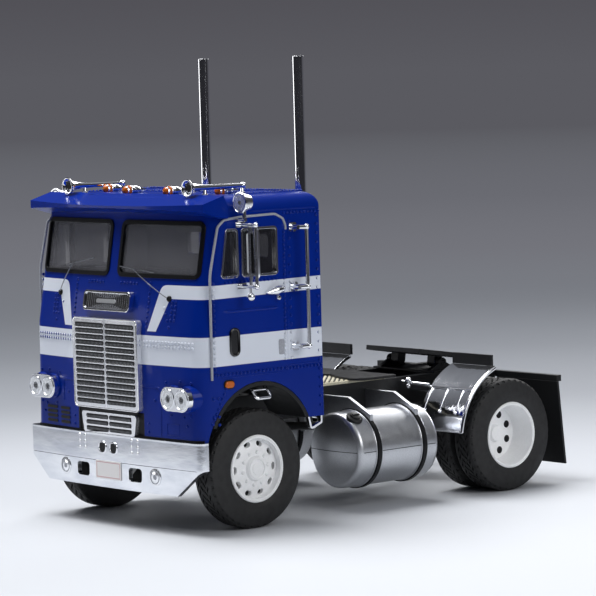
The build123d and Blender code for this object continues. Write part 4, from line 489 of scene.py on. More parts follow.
# %% Finish the solids
KEPT = (
    (cab_paint, "blue_paint", (("cab_shell", 0.15),)),
    (enamel, "blue_paint", (("sun_visor", 0.12),)),
    (grey_abs, "interior_grey", (("cab_interior", 0.1), ("seats", 0.2))),
    (gasket, "gasket_black", (("windscreen_gaskets", 0.06), ("tank_straps", 0.06))),
    (reflection_veiled_glass, "clear_glazing", (("windscreen_glass", 0.0),)),
    (shaded, "clear_glazing", (("side_glass", 0.0),)),
    (clear, "clear_glazing", (("rear_glass", 0.0),)),
    (chrome, "frame_grey", (("side_window_frames", 0.06),)),
    (plated, "chrome_plate", (("grille_upper", 0.06), ("grille_lower", 0.06))),
    (cloudy, "chrome_plate", (("bumper", 0.12),)),
    (rippled, "chrome_plate", (("quarter_fenders", 0.1),)),
    (chrome, "chrome_plate", (
        ("nameplate_panel", 0.1), ("headlamps", 0.1), ("marker_lamps", 0.05), ("spot_lamps", 0.08),
        ("side_mirrors", 0.08), ("grab_rails", 0.05), ("upper_steps", 0.0), ("lower_steps", 0.06),
        ("exhaust_stacks", 0.05))),
    (black_abs, "chassis_black", (
        ("steering_wheel", 0.0), ("wheel_arch_liners", 0.08), ("frame_rails", 0.1), ("crossmembers", 0.1),
        ("front_axle_beam", 0.1), ("rear_axle_housing", 0.08), ("leaf_springs", 0.06), ("engine_block", 0.12),
        ("driveshaft", 0.05), ("stack_beam", 0.1), ("fender_boards", 0.1), ("mudflap_hanger", 0.1),
        ("mudflaps", 0.08), ("fifth_wheel_plate", 0.12), ("fifth_wheel_bracket", 0.1))),
    (white_abs, "wheel_white", (("front_rims", 0.08), ("rear_rims", 0.08))),
    (steel, "axle_steel", (("front_axle_pin", 0.05), ("rear_axle_pin", 0.05))),
    (silver, "tank_silver", (("fuel_tanks", 0.2), ("tank_brackets", 0.08))),
    (cream_abs, "deck_cream", (("deck_plate", 0.06),)),
)
for material, slot, solids in KEPT:
    for name, edge in solids:
        softened(name, material, edge)
print(sum(len(solids) for material, slot, solids in KEPT), "solids finished")

# %% [markdown]
# ## Shapes that carry a profile
# Most trim on a model truck is one of a few shapes. A turned form is a lamp or a cap, and a tube along a path is
# a rail or a wiper arm. Each of the two is a profile that is carried along a line, and each function works out
# all its points in one go.

# %% Turned forms and tubes
def turned(profile, origin, axis, steps=32):
    """A turned form: a point (a, r) of the profile goes to origin + a * axis + r * (cos t * u + sin t * v), with t
    once round and u, v square to the axis. A radius of 0 closes an end in a pole."""
    a, r = np.asarray(profile, float).T
    axis = np.asarray(axis, float) / np.linalg.norm(axis)
    u = np.cross(axis, (0.0, 0.0, 1.0) if abs(axis[2]) < 0.9 else (1.0, 0.0, 0.0))
    u /= np.linalg.norm(u)
    v = np.cross(axis, u)
    t = np.linspace(0, 2 * np.pi, steps, endpoint=False)
    points = (np.asarray(origin, float) + a[:, None, None] * axis
              + r[:, None, None] * (np.cos(t)[:, None] * u + np.sin(t)[:, None] * v))
    return points.reshape(-1, 3), squares(len(a), steps, wrap_columns=True)


def ball(radius, steps=9):
    """Profile of a ball for `turned`: a half circle from pole to pole."""
    t = np.linspace(0, np.pi, steps)
    return np.stack([-radius * np.cos(t), radius * np.sin(t)], -1)


def tube(path, radius, sides=10, closed=False):
    """A round bar: a circle of `radius`, carried along the path square to its direction. The two axes of the
    circle are the path's own plane and the direction square to it. Open ends are closed in a pole."""
    path = np.asarray(path, float)
    run = np.gradient(path, axis=0) if not closed else np.roll(path, -1, 0) - np.roll(path, 1, 0)
    run /= np.linalg.norm(run, axis=1)[:, None]
    flat = np.linalg.svd(path - path.mean(0))[2][-1]
    side = np.cross(run, flat)
    side /= np.linalg.norm(side, axis=1)[:, None]
    other = np.cross(run, side)
    radii = np.full(len(path), float(radius)) if np.isscalar(radius) else np.asarray(radius, float)
    if not closed:
        path, side, other = (np.concatenate([part[:1], part, part[-1:]]) for part in (path, side, other))
        radii = np.concatenate([[0], radii, [0]])
    t = np.linspace(0, 2 * np.pi, sides, endpoint=False)
    ring = np.cos(t)[:, None] * side[:, None, :] + np.sin(t)[:, None] * other[:, None, :]
    points = path[:, None, :] + radii[:, None, None] * ring
    return points.reshape(-1, 3), squares(len(path), sides, wrap_rows=closed, wrap_columns=True)


def line(start, end, count):
    """Points evenly spaced from one to another."""
    return np.linspace(np.asarray(start, float), np.asarray(end, float), count)


print("faces of a ball:", len(turned(ball(1.0), (0, 0, 0), (0, 0, 1))[1]))

# %% [markdown]
# ### Plates
# Badges, patches and slots are flat pieces with a rounded outline. On the side of the cab such a plate is drawn
# in a plane. On the front it would cut into the curve, so there its outline is laid on the curve first, point by
# point, like a sticker.

# %% Plates
X, Y, Z = np.eye(3)             # the three directions, for plates that lie square to the truck


def rounded(width, height, radius, steps=5):
    """Outline of a rectangle about (0, 0) with quarter-round corners, anticlockwise."""
    quarter = np.linspace(0, np.pi / 2, steps)
    t = (quarter[None, :] + np.arange(4)[:, None] * np.pi / 2)
    middle = np.array([(1, 1), (-1, 1), (-1, -1), (1, -1)], float) * (width / 2 - radius, height / 2 - radius)
    return (middle[:, None, :] + radius * np.stack([np.cos(t), np.sin(t)], -1)).reshape(-1, 2)


def plate(outline, origin, right, up, thickness):
    """A plate: the outline drawn in the plane of `right` and `up`, and again `thickness` further out along
    right x up, with a wall between the two and one face over each."""
    right, up = (np.asarray(axis, float) / np.linalg.norm(axis) for axis in (right, up))
    outline = np.asarray(outline, float)
    back = np.asarray(origin, float) + outline[:, :1] * right + outline[:, 1:] * up
    count = len(outline)
    faces = [tuple(face) for face in squares(2, count, wrap_columns=True)]
    return (np.concatenate([back, back + thickness * np.cross(right, up)]),
            faces + [tuple(range(count))[::-1], tuple(range(count, 2 * count))])


def draped(outline, thickness, lift):
    """A plate whose outline (x, z) lies on the cab's front: each point is pushed to `lift` ahead of
    y = cab_front(x, z) and again to `lift` + `thickness`, and fans close both sides."""
    outline = np.asarray(outline, float)
    middle = outline.mean(0)
    x, z = outline.T
    y = cab_front(x, z)
    back, front = (np.stack([x, y - ahead, z], -1) for ahead in (lift, lift + thickness))
    poles = np.array([(middle[0], cab_front(*middle) - ahead, middle[1]) for ahead in (lift, lift + thickness)])
    points = np.concatenate([np.repeat(poles[:1], len(x), 0), back, front, np.repeat(poles[1:], len(x), 0)])
    return points, squares(4, len(x), wrap_columns=True)


def on_front(x, z):
    """Points on the cab's front and its outward normals, from the slopes of cab_front there."""
    x, z = (np.asarray(value, float) for value in (x, z))
    across = (cab_front(x + 0.01, z) - cab_front(x - 0.01, z)) / 0.02
    upward = (cab_front(x, z + 0.01) - cab_front(x, z - 0.01)) / 0.02
    return np.stack([x, cab_front(x, z), z], -1), np.stack([across, -np.ones_like(across), upward], -1)


print("the front leans by", on_front(0, 52)[1].round(2), "at the windscreen")

# %% [markdown]
# ### Batches
# A grille has hundreds of ribs and a cab hundreds of rivets. A separate object for each would be slow, so a batch
# is one mesh: the few points of one box or one dome, moved to every centre at once.

# %% Boxes and domes
CORNERS = np.array([(-1, -1, -1), (1, -1, -1), (1, 1, -1), (-1, 1, -1),
                    (-1, -1, 1), (1, -1, 1), (1, 1, 1), (-1, 1, 1)], float)
SIDES = np.array([(0, 3, 2, 1), (4, 5, 6, 7), (0, 1, 5, 4), (1, 2, 6, 5), (2, 3, 7, 6), (3, 0, 4, 7)])


def boxes(centres, half):
    """Small boxes: the eight corners (+-1, +-1, +-1) times the half sizes, about each centre."""
    centres = np.asarray(centres, float).reshape(-1, 3)
    half = np.broadcast_to(np.asarray(half, float), centres.shape)
    points = centres[:, None, :] + CORNERS * half[:, None, :]
    faces = SIDES[None] + 8 * np.arange(len(centres))[:, None, None]
    return points.reshape(-1, 3), faces.reshape(-1, 4)


# a rivet's head from its sunken foot to its crown: height as a share of the height, radius as one of the radius
DOME = np.array([(-1, 0), (-1, 1), (0.35, 0.94), (0.8, 0.6), (1, 0)])
SUNK_FOOT = 0.06                # millimetres that the foot goes into the panel


def domes(centres, normals, radius, height, sides=8):
    """Rivet heads: rings of radius r at height a above each centre, along its own normal."""
    centres = np.asarray(centres, float).reshape(-1, 3)
    normals = np.broadcast_to(np.asarray(normals, float), centres.shape)
    normals = normals / np.linalg.norm(normals, axis=1)[:, None]
    u = np.cross(normals, (0.12, 0.35, 0.93))
    u /= np.linalg.norm(u, axis=1)[:, None]
    v = np.cross(normals, u)
    a = np.where(DOME[:, 0] < 0, -SUNK_FOOT, DOME[:, 0] * height)
    r = DOME[:, 1] * radius
    t = np.linspace(0, 2 * np.pi, sides, endpoint=False)
    ring = np.cos(t)[None, :, None] * u[:, None, :] + np.sin(t)[None, :, None] * v[:, None, :]
    points = (centres[:, None, None, :] + a[None, :, None, None] * normals[:, None, None, :]
              + r[None, :, None, None] * ring[:, None, :, :])
    faces = squares(len(DOME), sides, wrap_columns=True)[None]
    faces = faces + len(DOME) * sides * np.arange(len(centres))[:, None, None]
    return points.reshape(-1, 3), faces.reshape(-1, 4)


print("rivet faces each:", len(domes([(0, 0, 0)], Z, 1, 1)[1]))

# %% [markdown]
# ## The front of the cab
# ### Grilles
# Each slot of the chrome grille is dark inside with shade and crossed by fine uprights, and the bars between the
# slots are rounded. Cutting the slots with their hundreds of uprights out of the solid would be heavy, and nobody
# sees into them. A black plate with round ends, painted shade, and a row of thin ribs gives the same at the size
# it shows.

# %% Grille slots
def slot_grid(count_x, count_z, middle_z, pitch_x, pitch_z):
    """Middles of a grid of slots, symmetrical about x = 0."""
    x, z = np.meshgrid((np.arange(count_x) - (count_x - 1) / 2) * pitch_x,
                       middle_z + (np.arange(count_z) - (count_z - 1) / 2) * pitch_z)
    return x.ravel(), z.ravel()


def grille_field(name, x, z, width, height, face_y, ribs):
    """Black plates over the slots as painted shade inside them, and upright ribs in front of them."""
    # black plates over the slots: painted shade of the dark inside each slot
    slot_shades = joined(*[plate(rounded(width, height, height * 0.46), (a, face_y - 0.01, b), X, Z, 0.03)
                     for a, b in zip(x, z)])
    piece(name + "_black", slot_shades, gasket, "chassis")
    offsets = (np.arange(ribs) - (ribs - 1) / 2) * (width - height * 0.5) / ribs
    rib_x = (x[:, None] + offsets).ravel()
    centres = np.stack([rib_x, np.full_like(rib_x, face_y - 0.06), np.repeat(z, ribs) - height * 0.12], -1)
    uprights = boxes(centres, (width / ribs * 0.11, 0.03, height * 0.26))
    piece(name + "_ribs", uprights, steel, "chassis")


GRILLE_LOW, GRILLE_HIGH, GRILLE_ROWS = 24.2, 42.9, 14
FACE_Y, GRILLE_MIDDLE = NOSE_Y - 0.9, 33.55
GRILLE_PITCH = (GRILLE_HIGH - GRILLE_LOW - 1.7) / GRILLE_ROWS
x, z = slot_grid(2, GRILLE_ROWS, (GRILLE_HIGH + GRILLE_LOW) / 2, 9.4 + 0.7, GRILLE_PITCH)
grille_field("grille_upper", x, z, 9.5, GRILLE_PITCH * 0.7, FACE_Y, 20)
x, z = slot_grid(2, 3, 21.2, 7.7, 1.27)
grille_field("grille_lower", x, z, 7.35, 0.9, NOSE_Y - 0.4, 17)
print("slots", round(GRILLE_PITCH, 2), "mm apart")

# %% [markdown]
# ### Grille bars
# Light runs along the bars between the slots because they are rounded, so a thin tube lies on each of them, one
# down the middle, and one round the rim. The gap under the grille and the space behind the lower one are black
# boxes, painted shade.

# %% Grille bars
frame_line = rounded(21.2, 18.4, 0.9)
rim = np.stack([frame_line[:, 0], np.full(len(frame_line), FACE_Y + 0.02), frame_line[:, 1] + GRILLE_MIDDLE], -1)
heights = GRILLE_MIDDLE + (np.arange(GRILLE_ROWS - 1) - 6) * GRILLE_PITCH
bars = [tube(line((side * 0.5, FACE_Y, height), (side * 9.7, FACE_Y, height), 3), 0.14, 8)
        for height in heights for side in (1, -1)]
middle_bar = tube(line((0, FACE_Y - 0.02, 24.6), (0, FACE_Y - 0.02, 42.6), 3), 0.17, 10)
piece("grille_upper_beads", joined(tube(rim, 0.15, 8, closed=True), middle_bar, *bars), plated, "chassis")
# black boxes as painted shade: inside the mouth behind the lower grille, and in the gap under the upper one
for name, centre, half in (("mouth_backing", (0, NOSE_Y + 0.57, 21.5), (10.95, 0.02, 2.45)),
                           ("grille_gap", (0, NOSE_Y - 0.2, 23.85), (9.6, 0.2, 0.26))):
    piece(name, boxes([centre], half), gasket, "chassis")
print("grille:", len(bars), "bars")

# %% [markdown]
# ### Nameplate
# The chrome frame above the grille holds a black field with upright ribs, and a plain oblong plate across them.
# All three follow the curve of the front, so they are draped on it, or start and end on it.

# %% Nameplate field
PLATE_LIFT, RIB_LOW, RIB_HIGH = 0.9, 45.0, 47.9
field = draped(rounded(14.3, 3.0, 0.6) + (0, 46.45), 0.04, PLATE_LIFT)
piece("nameplate_black", field, gasket, "chassis")
rib_x = np.linspace(-6.6, 6.6, 21)
low, high = (np.stack([rib_x, cab_front(rib_x, height) - PLATE_LIFT - 0.12, np.full(len(rib_x), height)], -1)
             for height in (RIB_LOW, RIB_HIGH))
ribs = joined(*[tube(line(a, b, 2), 0.09, 6) for a, b in zip(low, high)])
piece("nameplate_ribs", ribs, plated, "chassis")
badge = draped(rounded(6.4, 0.8, 0.38) + (0, 46.4), 0.14, PLATE_LIFT + 0.2)
piece("nameplate_badge", badge, silver, "chassis", edge=0.04)
print("nameplate:", len(rib_x), "ribs")

# %% [markdown]
# ### A lamp
# A model's lamp is a silvered dish with a dark spot where the bulb is, under a clear domed lens, in a chrome
# bezel. Each is turned about the lamp's own line, so one function with four profiles makes every lamp.

# %% One lamp
# sprayed from inside with bright lacquer, so it is paler and softer than plating
lamp_silver, tree, shader = new_material("silvered_dish", base_color=colour("#F2F4F7"), metallic=0.4, roughness=0.32)
grain(tree, shader, 0.25, 0.01, roughness=(0.24, 0.36))


def lamp(name, centre, radius, bulge, inside):
    """Bezel, dish, bulb and lens of one lamp that looks forwards; `centre` is the middle of its flat face."""
    inner = radius - 0.3
    t = np.linspace(0, 1, 7)
    bezel = [(-0.3, radius), (0.08, radius), (0.16, radius - 0.08), (0.16, radius - 0.2), (0.0, radius - 0.32),
             (-0.3, radius - 0.32), (-0.3, radius)]
    bowl = [(-0.05, 0), (-0.05, inner), (0.1, inner), (0.03, inner * 0.75), (0.05, inner * 0.7),
            (0.03, inner * 0.4), (0.03, 0)]
    bulb = [(0.0, 0), (0.0, 0.2 * radius), (0.1, 0.19 * radius), (0.14, 0.1 * radius), (0.15, 0)]
    lens = np.concatenate([np.stack([0.12 + bulge * (1 - t ** 2), inner * t], -1), [(0.06, inner), (0.06, 0)]])
    for word, profile, steps, material, slot, smooth in (
            ("bezel", bezel, 40, chrome, "chrome_plate", 40.0), ("dish", bowl, 40, inside, "chrome_plate", 40.0),
            ("bulb", bulb, 16, gasket, "gasket_black", 40.0), ("lens", lens, 40, clear, "clear_glazing", 50.0)):
        piece(f"{name}_{word}", turned(profile, centre, -Y, steps), material, "chassis", smooth=smooth)


print("lamp dish:", len(lamp_silver.node_tree.nodes), "nodes")

# %% [markdown]
# ### Headlamps
# Two lamps stand side by side in one oval plated frame. Behind it each sits in a painted housing, because only
# the front millimetre of the real moulding is plated.

# %% Headlamps
HEADLAMP_X, HEADLAMP_Z, HEADLAMP_APART, LAMP_RADIUS = 22.3, 27.65, 2.125, 2.1
housing = [(0.0, 2.4), (0.0, 2.52), (0.4, 2.66), (3.6, 2.95), (3.6, 2.4), (0.0, 2.4)]
for side, word in ((1, "left"), (-1, "right")):
    for offset, which in ((-HEADLAMP_APART, "inner"), (HEADLAMP_APART, "outer")):
        lamp_x = side * (HEADLAMP_X + offset)
        lamp(f"headlamp_{word}_{which}", (lamp_x, NOSE_Y - 0.8, HEADLAMP_Z), LAMP_RADIUS, 0.14, lamp_silver)
        piece(f"headlamp_{word}_{which}_housing", turned(housing, (lamp_x, NOSE_Y + 0.35, HEADLAMP_Z), Y, 40),
              enamel, "chassis")
    oval = plate(rounded(9.2, 4.9, 2.44), (side * HEADLAMP_X, NOSE_Y + 0.1, HEADLAMP_Z), X, Z, 0.93)
    piece(f"headlamp_{word}_frame", oval, chrome, "chassis", edge=0.25)
print("headlamps:", 2 * LAMP_RADIUS, "mm across,", 2 * HEADLAMP_APART, "mm apart")

# %% [markdown]
# ### Bumper
# The chrome bumper bows forwards by just over a millimetre and has a crease where its lower half turns under.
# The bow is an arc through its middle and its ends, and everything on the bumper asks the same function where
# its face is.

# %% Bumper face and crease
BUMPER_HALF, BUMPER_BOW, CREASE_Z = 28.5, 1.2, 13.4


def bumper_front(x):
    """Y of the bumper's face: an arc BUMPER_BOW deep over its whole width."""
    radius = (BUMPER_HALF ** 2 + BUMPER_BOW ** 2) / (2 * BUMPER_BOW)
    return BUMPER_Y + radius - np.sqrt(radius ** 2 - np.asarray(x, float) ** 2)


crease_x = np.linspace(-27.3, 27.3, 40)
crease = np.stack([crease_x, bumper_front(crease_x) - 0.01, np.full(len(crease_x), CREASE_Z)], -1)
piece("bumper_crease", tube(crease, 0.09, 8), chrome, "chassis")
print("the bumper's ends stand back by", round(float(bumper_front(BUMPER_HALF)) - BUMPER_Y, 2), "mm")

# %% [markdown]
# ### Fog lamps
# A round lamp is let into each lower corner of the bumper, square to its bowed face and just proud of it. Its
# face is plated, with a grey ring on it that is painted shade of a groove, and a grey spot for the bulb.

# %% Fog lamps
FOG_X, FOG_Z, FOG_RADIUS = 15.0, 11.4, 1.75
slope = float(bumper_front(FOG_X + 1) - bumper_front(FOG_X - 1)) / 2
outward = np.array((slope, -1, 0)) / math.hypot(slope, 1)
fog_middle = (FOG_X, float(bumper_front(FOG_X)), FOG_Z)
barrel = [(-0.6, 0), (-0.6, FOG_RADIUS), (0.1, FOG_RADIUS), (0.14, FOG_RADIUS - 0.06), (0.14, 0)]
fog_lamps = piece("fog_lamps_set_in", mirrored(turned(barrel, fog_middle, outward, 40)), plated, "chassis")
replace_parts(fog_lamps, "fog_lamps")
# the grey ring is painted shade of a groove round the face; the spot is the bulb
ring = [(0.1, 1.2), (0.18, 1.2), (0.18, 1.42), (0.1, 1.42), (0.1, 1.2)]
spot = [(0.1, 0), (0.1, 0.55), (0.18, 0.5), (0.18, 0)]
groove_shade_and_bulb = joined(*[turned(profile, fog_middle, outward, 36) for profile in (ring, spot)])
piece("fog_lamp_groove_shade_and_bulbs", mirrored(groove_shade_and_bulb), grey_paint, "chassis")
print("fog lamps lean by", round(math.degrees(math.atan(slope)), 1), "degrees")

# %% [markdown]
# ### Bolts and openings
# Two groups of six bolts hold the bumper on, and between them are two openings with rolled rims. An opening is
# only as deep as the eye can see into it, so a thin black plate under a rim, painted shade, is enough.

# %% Bolts and openings
bolt_x, bolt_z = (grid.ravel() for grid in np.meshgrid((-9.7, -7.8, 7.8, 9.7), (18.3, 17.0, 15.75)))
bolts = domes(np.stack([bolt_x, bumper_front(bolt_x), bolt_z], -1), -Y, 0.34, 0.22, 10)
piece("bumper_bolts", bolts, chrome, "chassis")
OPENING_X, OPENING_Z = 1.85, 16.3
outline = rounded(2.3, 2.2, 0.9)
for side, word in ((1, "left"), (-1, "right")):
    face = (side * OPENING_X, float(bumper_front(OPENING_X)) - 0.04, OPENING_Z)
    # a black plate in each opening: painted shade inside it
    piece(f"bumper_opening_{word}", plate(outline, face, X, Z, 0.02), gasket, "chassis")
    lip = np.stack([outline[:, 0] + face[0], np.full(len(outline), face[1]), outline[:, 1] + face[2]], -1)
    piece(f"bumper_opening_rim_{word}", tube(lip, 0.16, 8, closed=True), chrome, "chassis")
print(len(bolt_x), "bolts")

# %% [markdown]
# ### Number plate
# The plate is a piece of white card with a thin printed border, and is left blank. The border is where the
# distance to the nearest edge is within a tenth of a millimetre of one value, which a few sums on the place give.

# %% Number plate
PLATE_WIDTH, PLATE_HEIGHT, PLATE_Z = 8.5, 3.8, 11.65
BORDER_HALF_WIDTH, BORDER_HALF_HEIGHT, BORDER_LINE = 3.85, 1.55, 0.09
# matt and very slightly warm, with fibres a third of a millimetre apart
printed_card, tree, shader = new_material("white_card_printed", roughness=0.45, ior=1.45)
place = node(tree, "ShaderNodeTexCoord")
axes = node(tree, "ShaderNodeSeparateXYZ", {"Vector": place.outputs["Object"]})
aside = node(tree, SUM, [axes.outputs[0]], operation="ABSOLUTE")
from_x = node(tree, SUM, [BORDER_HALF_WIDTH * MM, aside], operation="SUBTRACT")
over_middle = node(tree, SUM, [axes.outputs[2], PLATE_Z * MM], operation="SUBTRACT")
above = node(tree, SUM, [over_middle], operation="ABSOLUTE")
from_z = node(tree, SUM, [BORDER_HALF_HEIGHT * MM, above], operation="SUBTRACT")
inwards = node(tree, SUM, [from_x, from_z], operation="MINIMUM")
border = node(tree, SUM, [inwards, 0.0, BORDER_LINE * MM], operation="COMPARE")
paper = node(tree, "ShaderNodeMix", {"Factor": border, 6: colour("#E9E6E5"), 7: colour("#C9A3A6")}, data_type="RGBA")
tree.links.new(paper.outputs[2], shader.inputs["Base Color"])
fibres = node(tree, "ShaderNodeTexNoise", {"Vector": place.outputs["Object"], "Scale": 1 / (0.3 * MM)})
bump = node(tree, "ShaderNodeBump", {"Height": fibres.outputs[0], "Distance": 0.004 * MM})
tree.links.new(bump.outputs[0], shader.inputs["Normal"])
card_shape = plate(rounded(PLATE_WIDTH, PLATE_HEIGHT, 0.25), (0, BUMPER_Y - 0.01, PLATE_Z), X, Z, 0.12)
piece("number_plate", card_shape, printed_card, "chassis", edge=0.03)
print("number plate:", PLATE_WIDTH, "by", PLATE_HEIGHT, "mm")

# %% [markdown]
# ### Wipers
# Each arm rises from a small dark cap under the screen and lies a little proud of it, with a thin blade across
# its end. The path is given as places on the cab's front and a height above it, so the arm follows the curve.

# %% Wipers
# drawn wire: bright, but too thin to mirror anything
wire, tree, shader = new_material("bright_wire", base_color=colour("#8E9094"), metallic=1.0, roughness=0.3)
grain(tree, shader, 0.1, 0.003, stretch=(0.2, 1, 1))


def above_front(points, lift):
    """Points (x, z) lifted off the cab's front by `lift` each."""
    x, z = np.asarray(points, float).T
    return np.stack([x, cab_front(x, z) - np.asarray(lift, float), z], -1)


WIPERS = (("left", (18.16, 47.4), (6.8, 53.0), ((2.3, 53.5), (13.0, 52.5))),
          ("right", (-18.16, 47.4), (-14.2, 53.6), ((-16.7, 53.2), (-7.1, 54.9))))
pivot_cap = [(-0.1, 0), (-0.1, 0.62), (0.25, 0.58), (0.45, 0.42), (0.5, 0)]
for word, pivot, joint, blade in WIPERS:
    arm = above_front(line(pivot, joint, 6), (0.3, 0.6, 0.7, 0.7, 0.65, 0.45))
    piece(f"wiper_arm_{word}", tube(arm, 0.11, 8), wire, "chassis")
    rubber = above_front(line(blade[0], blade[1], 8), 0.3)
    piece(f"wiper_blade_{word}", tube(rubber, 0.1, 8), wire, "chassis")
    foot, facing = on_front(*pivot)
    piece(f"wiper_pivot_{word}", turned(pivot_cap, foot, facing, 20), gasket, "chassis")
print("wiper arms:", [round(math.dist(pivot, joint), 1) for word, pivot, joint, blade in WIPERS], "mm")

# %% [markdown]
# ### Panel lines and louvres
# The lower front has a hatch outline and a louvred panel. Lines this fine are beads of a tenth of a millimetre
# under the paint, and the louvres are eight black slots that follow the cab's curve, painted shade inside them. A
# black line along the foot of the cab is painted shade in the gap above the bumper.

# %% Front panel details
def front_bead(name, points, radius=0.15):
    """A fine painted bead along places (x, z) on the front."""
    runs = [line(a, b, 8)[:-1] for a, b in zip(points[:-1], points[1:])]
    dense = np.concatenate(runs + [np.asarray(points[-1:], float)])
    piece(name, tube(above_front(dense, 0.0), radius, 6), enamel, "chassis")


front_bead("hatch_line", ((10.2, 29.5), (15.6, 29.5), (16.2, 28.9), (16.2, 19.8)))
front_bead("hatch_line_right", ((-11.2, 29.5), (-15.6, 29.5), (-16.2, 28.9), (-16.2, 25.0)))
front_bead("corner_box", ((18.0, 20.2), (18.0, 22.4), (21.5, 22.4), (21.5, 20.2), (18.0, 20.2)), 0.1)
# a black line in the gap between the cab's foot and the bumper: painted shade
gap_shade_line = tube(above_front(line((-27.4, 19.2), (27.4, 19.2), 60), 0.0), 0.22, 8)
piece("bumper_gap_shade", gap_shade_line, gasket, "chassis")
# black louvre slots: painted shade inside the louvres
slots = [draped(rounded(width, 0.6, 0.29) + (middle, height), 0.05, 0.1)
         for height in (23.3, 22.35, 21.4, 20.4) for middle, width in ((-20.75, 4.0), (-15.8, 3.4))]
piece("louvre_slot_shade", joined(*slots), gasket, "chassis")
print(len(slots), "louvres")

# %% [markdown]
# ### Rivets
# The cab of the real truck is riveted sheet, and on the model every rivet is a dome about two thirds of a
# millimetre across. They are batches of one eight-sided dome, painted like the panel they sit on, and rows of
# them are just places evenly spaced along lines.

# %% Rivets on the front
def pitch(start, end, gap=0.95):
    """Evenly spaced places from one to another, about `gap` apart."""
    return line(start, end, max(2, round(math.dist(start, end) / gap) + 1))


FRONT_ROWS = ((12.2, 50.4, 12.2, 41.6), (19.1, 46.9, 19.1, 43.2), (20.1, 46.9, 20.1, 43.2), (11.6, 38.7, 25.4, 38.7),
              (11.6, 37.8, 25.4, 37.8), (3.0, 50.2, 8.0, 50.2))
LONE_RIVETS = ((10.6, 26.9), (14.5, 26.9), (17.8, 30.7), (21.9, 31.1), (25.0, 30.9), (24.9, 24.2), (23.0, 23.9),
               (19.2, 24.2), (12.4, 22.0), (12.4, 20.4), (23.8, 22.2))
front_rows = [pitch((side * a, b), (side * c, d)) for side in (1, -1) for a, b, c, d in FRONT_ROWS]
front_rows += [np.array([(side * a, b) for side in (1, -1) for a, b in LONE_RIVETS])]
front_rows += [pitch((side * 16.9, 45.6), (side * 18.8, 41.8), 1.3) for side in (1, -1)]
places = np.concatenate(front_rows)
points, normals = on_front(places[:, 0], places[:, 1])
piece("front_rivets", domes(points, normals, 0.32, 0.3), enamel, "chassis")
print(len(places), "rivets on the front")

# %% [markdown]
# ## The sides of the cab
# Seen from the side the cab has a silver-grey weather strip round the door, a raised swage line and seams. They
# are all tubes sunk to more than half into the panel. The strip's path has rounded corners, and each of these is a
# parabola between two points on its runs.

# %% Weather strip and side beads
def at_side(places, lift=0.0):
    """Points on the left side from places (behind the front axle, height)."""
    places = np.asarray(places, float)
    return np.stack([np.full(len(places), CAB_HALF + lift), places[:, 0] + FRONT_Y, places[:, 1]], -1)


def softened_line(corners, steps=6, share=0.5):
    """A polyline whose corners are rounded: each inner corner becomes a parabola between points part of the way
    along its two runs."""
    corners = np.asarray(corners, float)
    lengths = np.linalg.norm(np.diff(corners, axis=0), axis=1)
    directions = np.diff(corners, axis=0) / lengths[:, None]
    reach = (np.minimum(lengths[:-1], lengths[1:]) * share * 0.5)[:, None]
    b = corners[1:-1]
    a, b, c = (part[:, None] for part in (b - reach * directions[:-1], b, b + reach * directions[1:]))
    t = np.linspace(0, 1, steps)[None, :, None]
    curve = (1 - t) ** 2 * a + 2 * t * (1 - t) * b + t ** 2 * c
    return np.concatenate([corners[:1], curve.reshape(-1, 2), corners[-1:]])


strip = softened_line(((-12.88, 31.4), (-12.77, 52.1), (-11.65, 56.8), (-10.44, 61.8), (-8.75, 63.1), (-4.6, 63.5),
                       (4.6, 63.7), (6.7, 62.65), (7.3, 61.2), (7.3, 60.4)))
piece("weather_strip", mirrored(tube(at_side(strip, -0.02), 0.27, 10)), grey_paint, "chassis")
# name, two ends, radius, and how far the middle of the bar lies off the panel
BEADS = (("swage_line", ((-9.8, 44.8), (5.2, 44.8)), 0.4, -0.18),
         ("rear_seam", ((6.7, 32.9), (16.3, 32.9)), 0.2, -0.06),
         ("roof_seam", ((-2.3, 64.5), (16.3, 64.5)), 0.16, -0.02),
         ("sill_seam", ((-11.5, 31.6), (6.5, 31.6)), 0.1, -0.03),
         ("door_rear_edge", ((7.6, 60.0), (7.2, 33.2)), 0.07, 0.0))
taper = np.array([0.4] + [1.0] * 10 + [0.4])
for name, ends, radius, lift in BEADS:
    path = at_side(line(ends[0], ends[1], len(taper)), lift)
    piece(name, mirrored(tube(path, taper * radius, 10)), enamel, "chassis")
print("weather strip of", len(strip), "points,", len(BEADS), "beads")

# %% [markdown]
# ### More rivets
# Rivet rows follow the door, the seams and the rear edge of each side, and on the roof four rows run along it and
# two across. The ones on the sides look sideways and the ones on the roof look up, so each batch has one normal
# for all.

# %% Rivets on the sides and roof
SIDE_ROWS = (((6.9, 63.75), (16.2, 63.75), 0.9), ((6.8, 59.9), (6.5, 34.2), 0.85), ((-12.0, 50.6), (-12.0, 32.4), 1.1),
             ((-8.8, 50.55), (4.6, 50.55), 1.0), ((-11.4, 32.3), (6.4, 32.3), 1.0), ((6.9, 32.2), (16.1, 32.2), 0.9),
             ((8.2, 62.0), (8.2, 34.2), 1.7), ((-9.4, 29.4), (-13.0, 22.6), 1.1), ((15.6, 63.0), (15.6, 24.0), 1.9))
side_rows = [pitch(*row) for row in SIDE_ROWS]
side_rows += [np.array([(-11.3, 24.0), (-12.6, 24.0), (-11.3, 22.4), (-12.6, 27.6), (-11.4, 27.6)])]
places = np.concatenate(side_rows)
piece("side_rivets", mirrored(domes(at_side(places), X, 0.34, 0.32)), enamel, "chassis")
ROOF_Z = 67.8
along = [pitch((side * x, a + FRONT_Y), (side * x, b + FRONT_Y), 0.9)
         for side in (1, -1) for x, a, b in ((24.2, -2.0, 15.4), (11.5, 4.0, 15.4))]
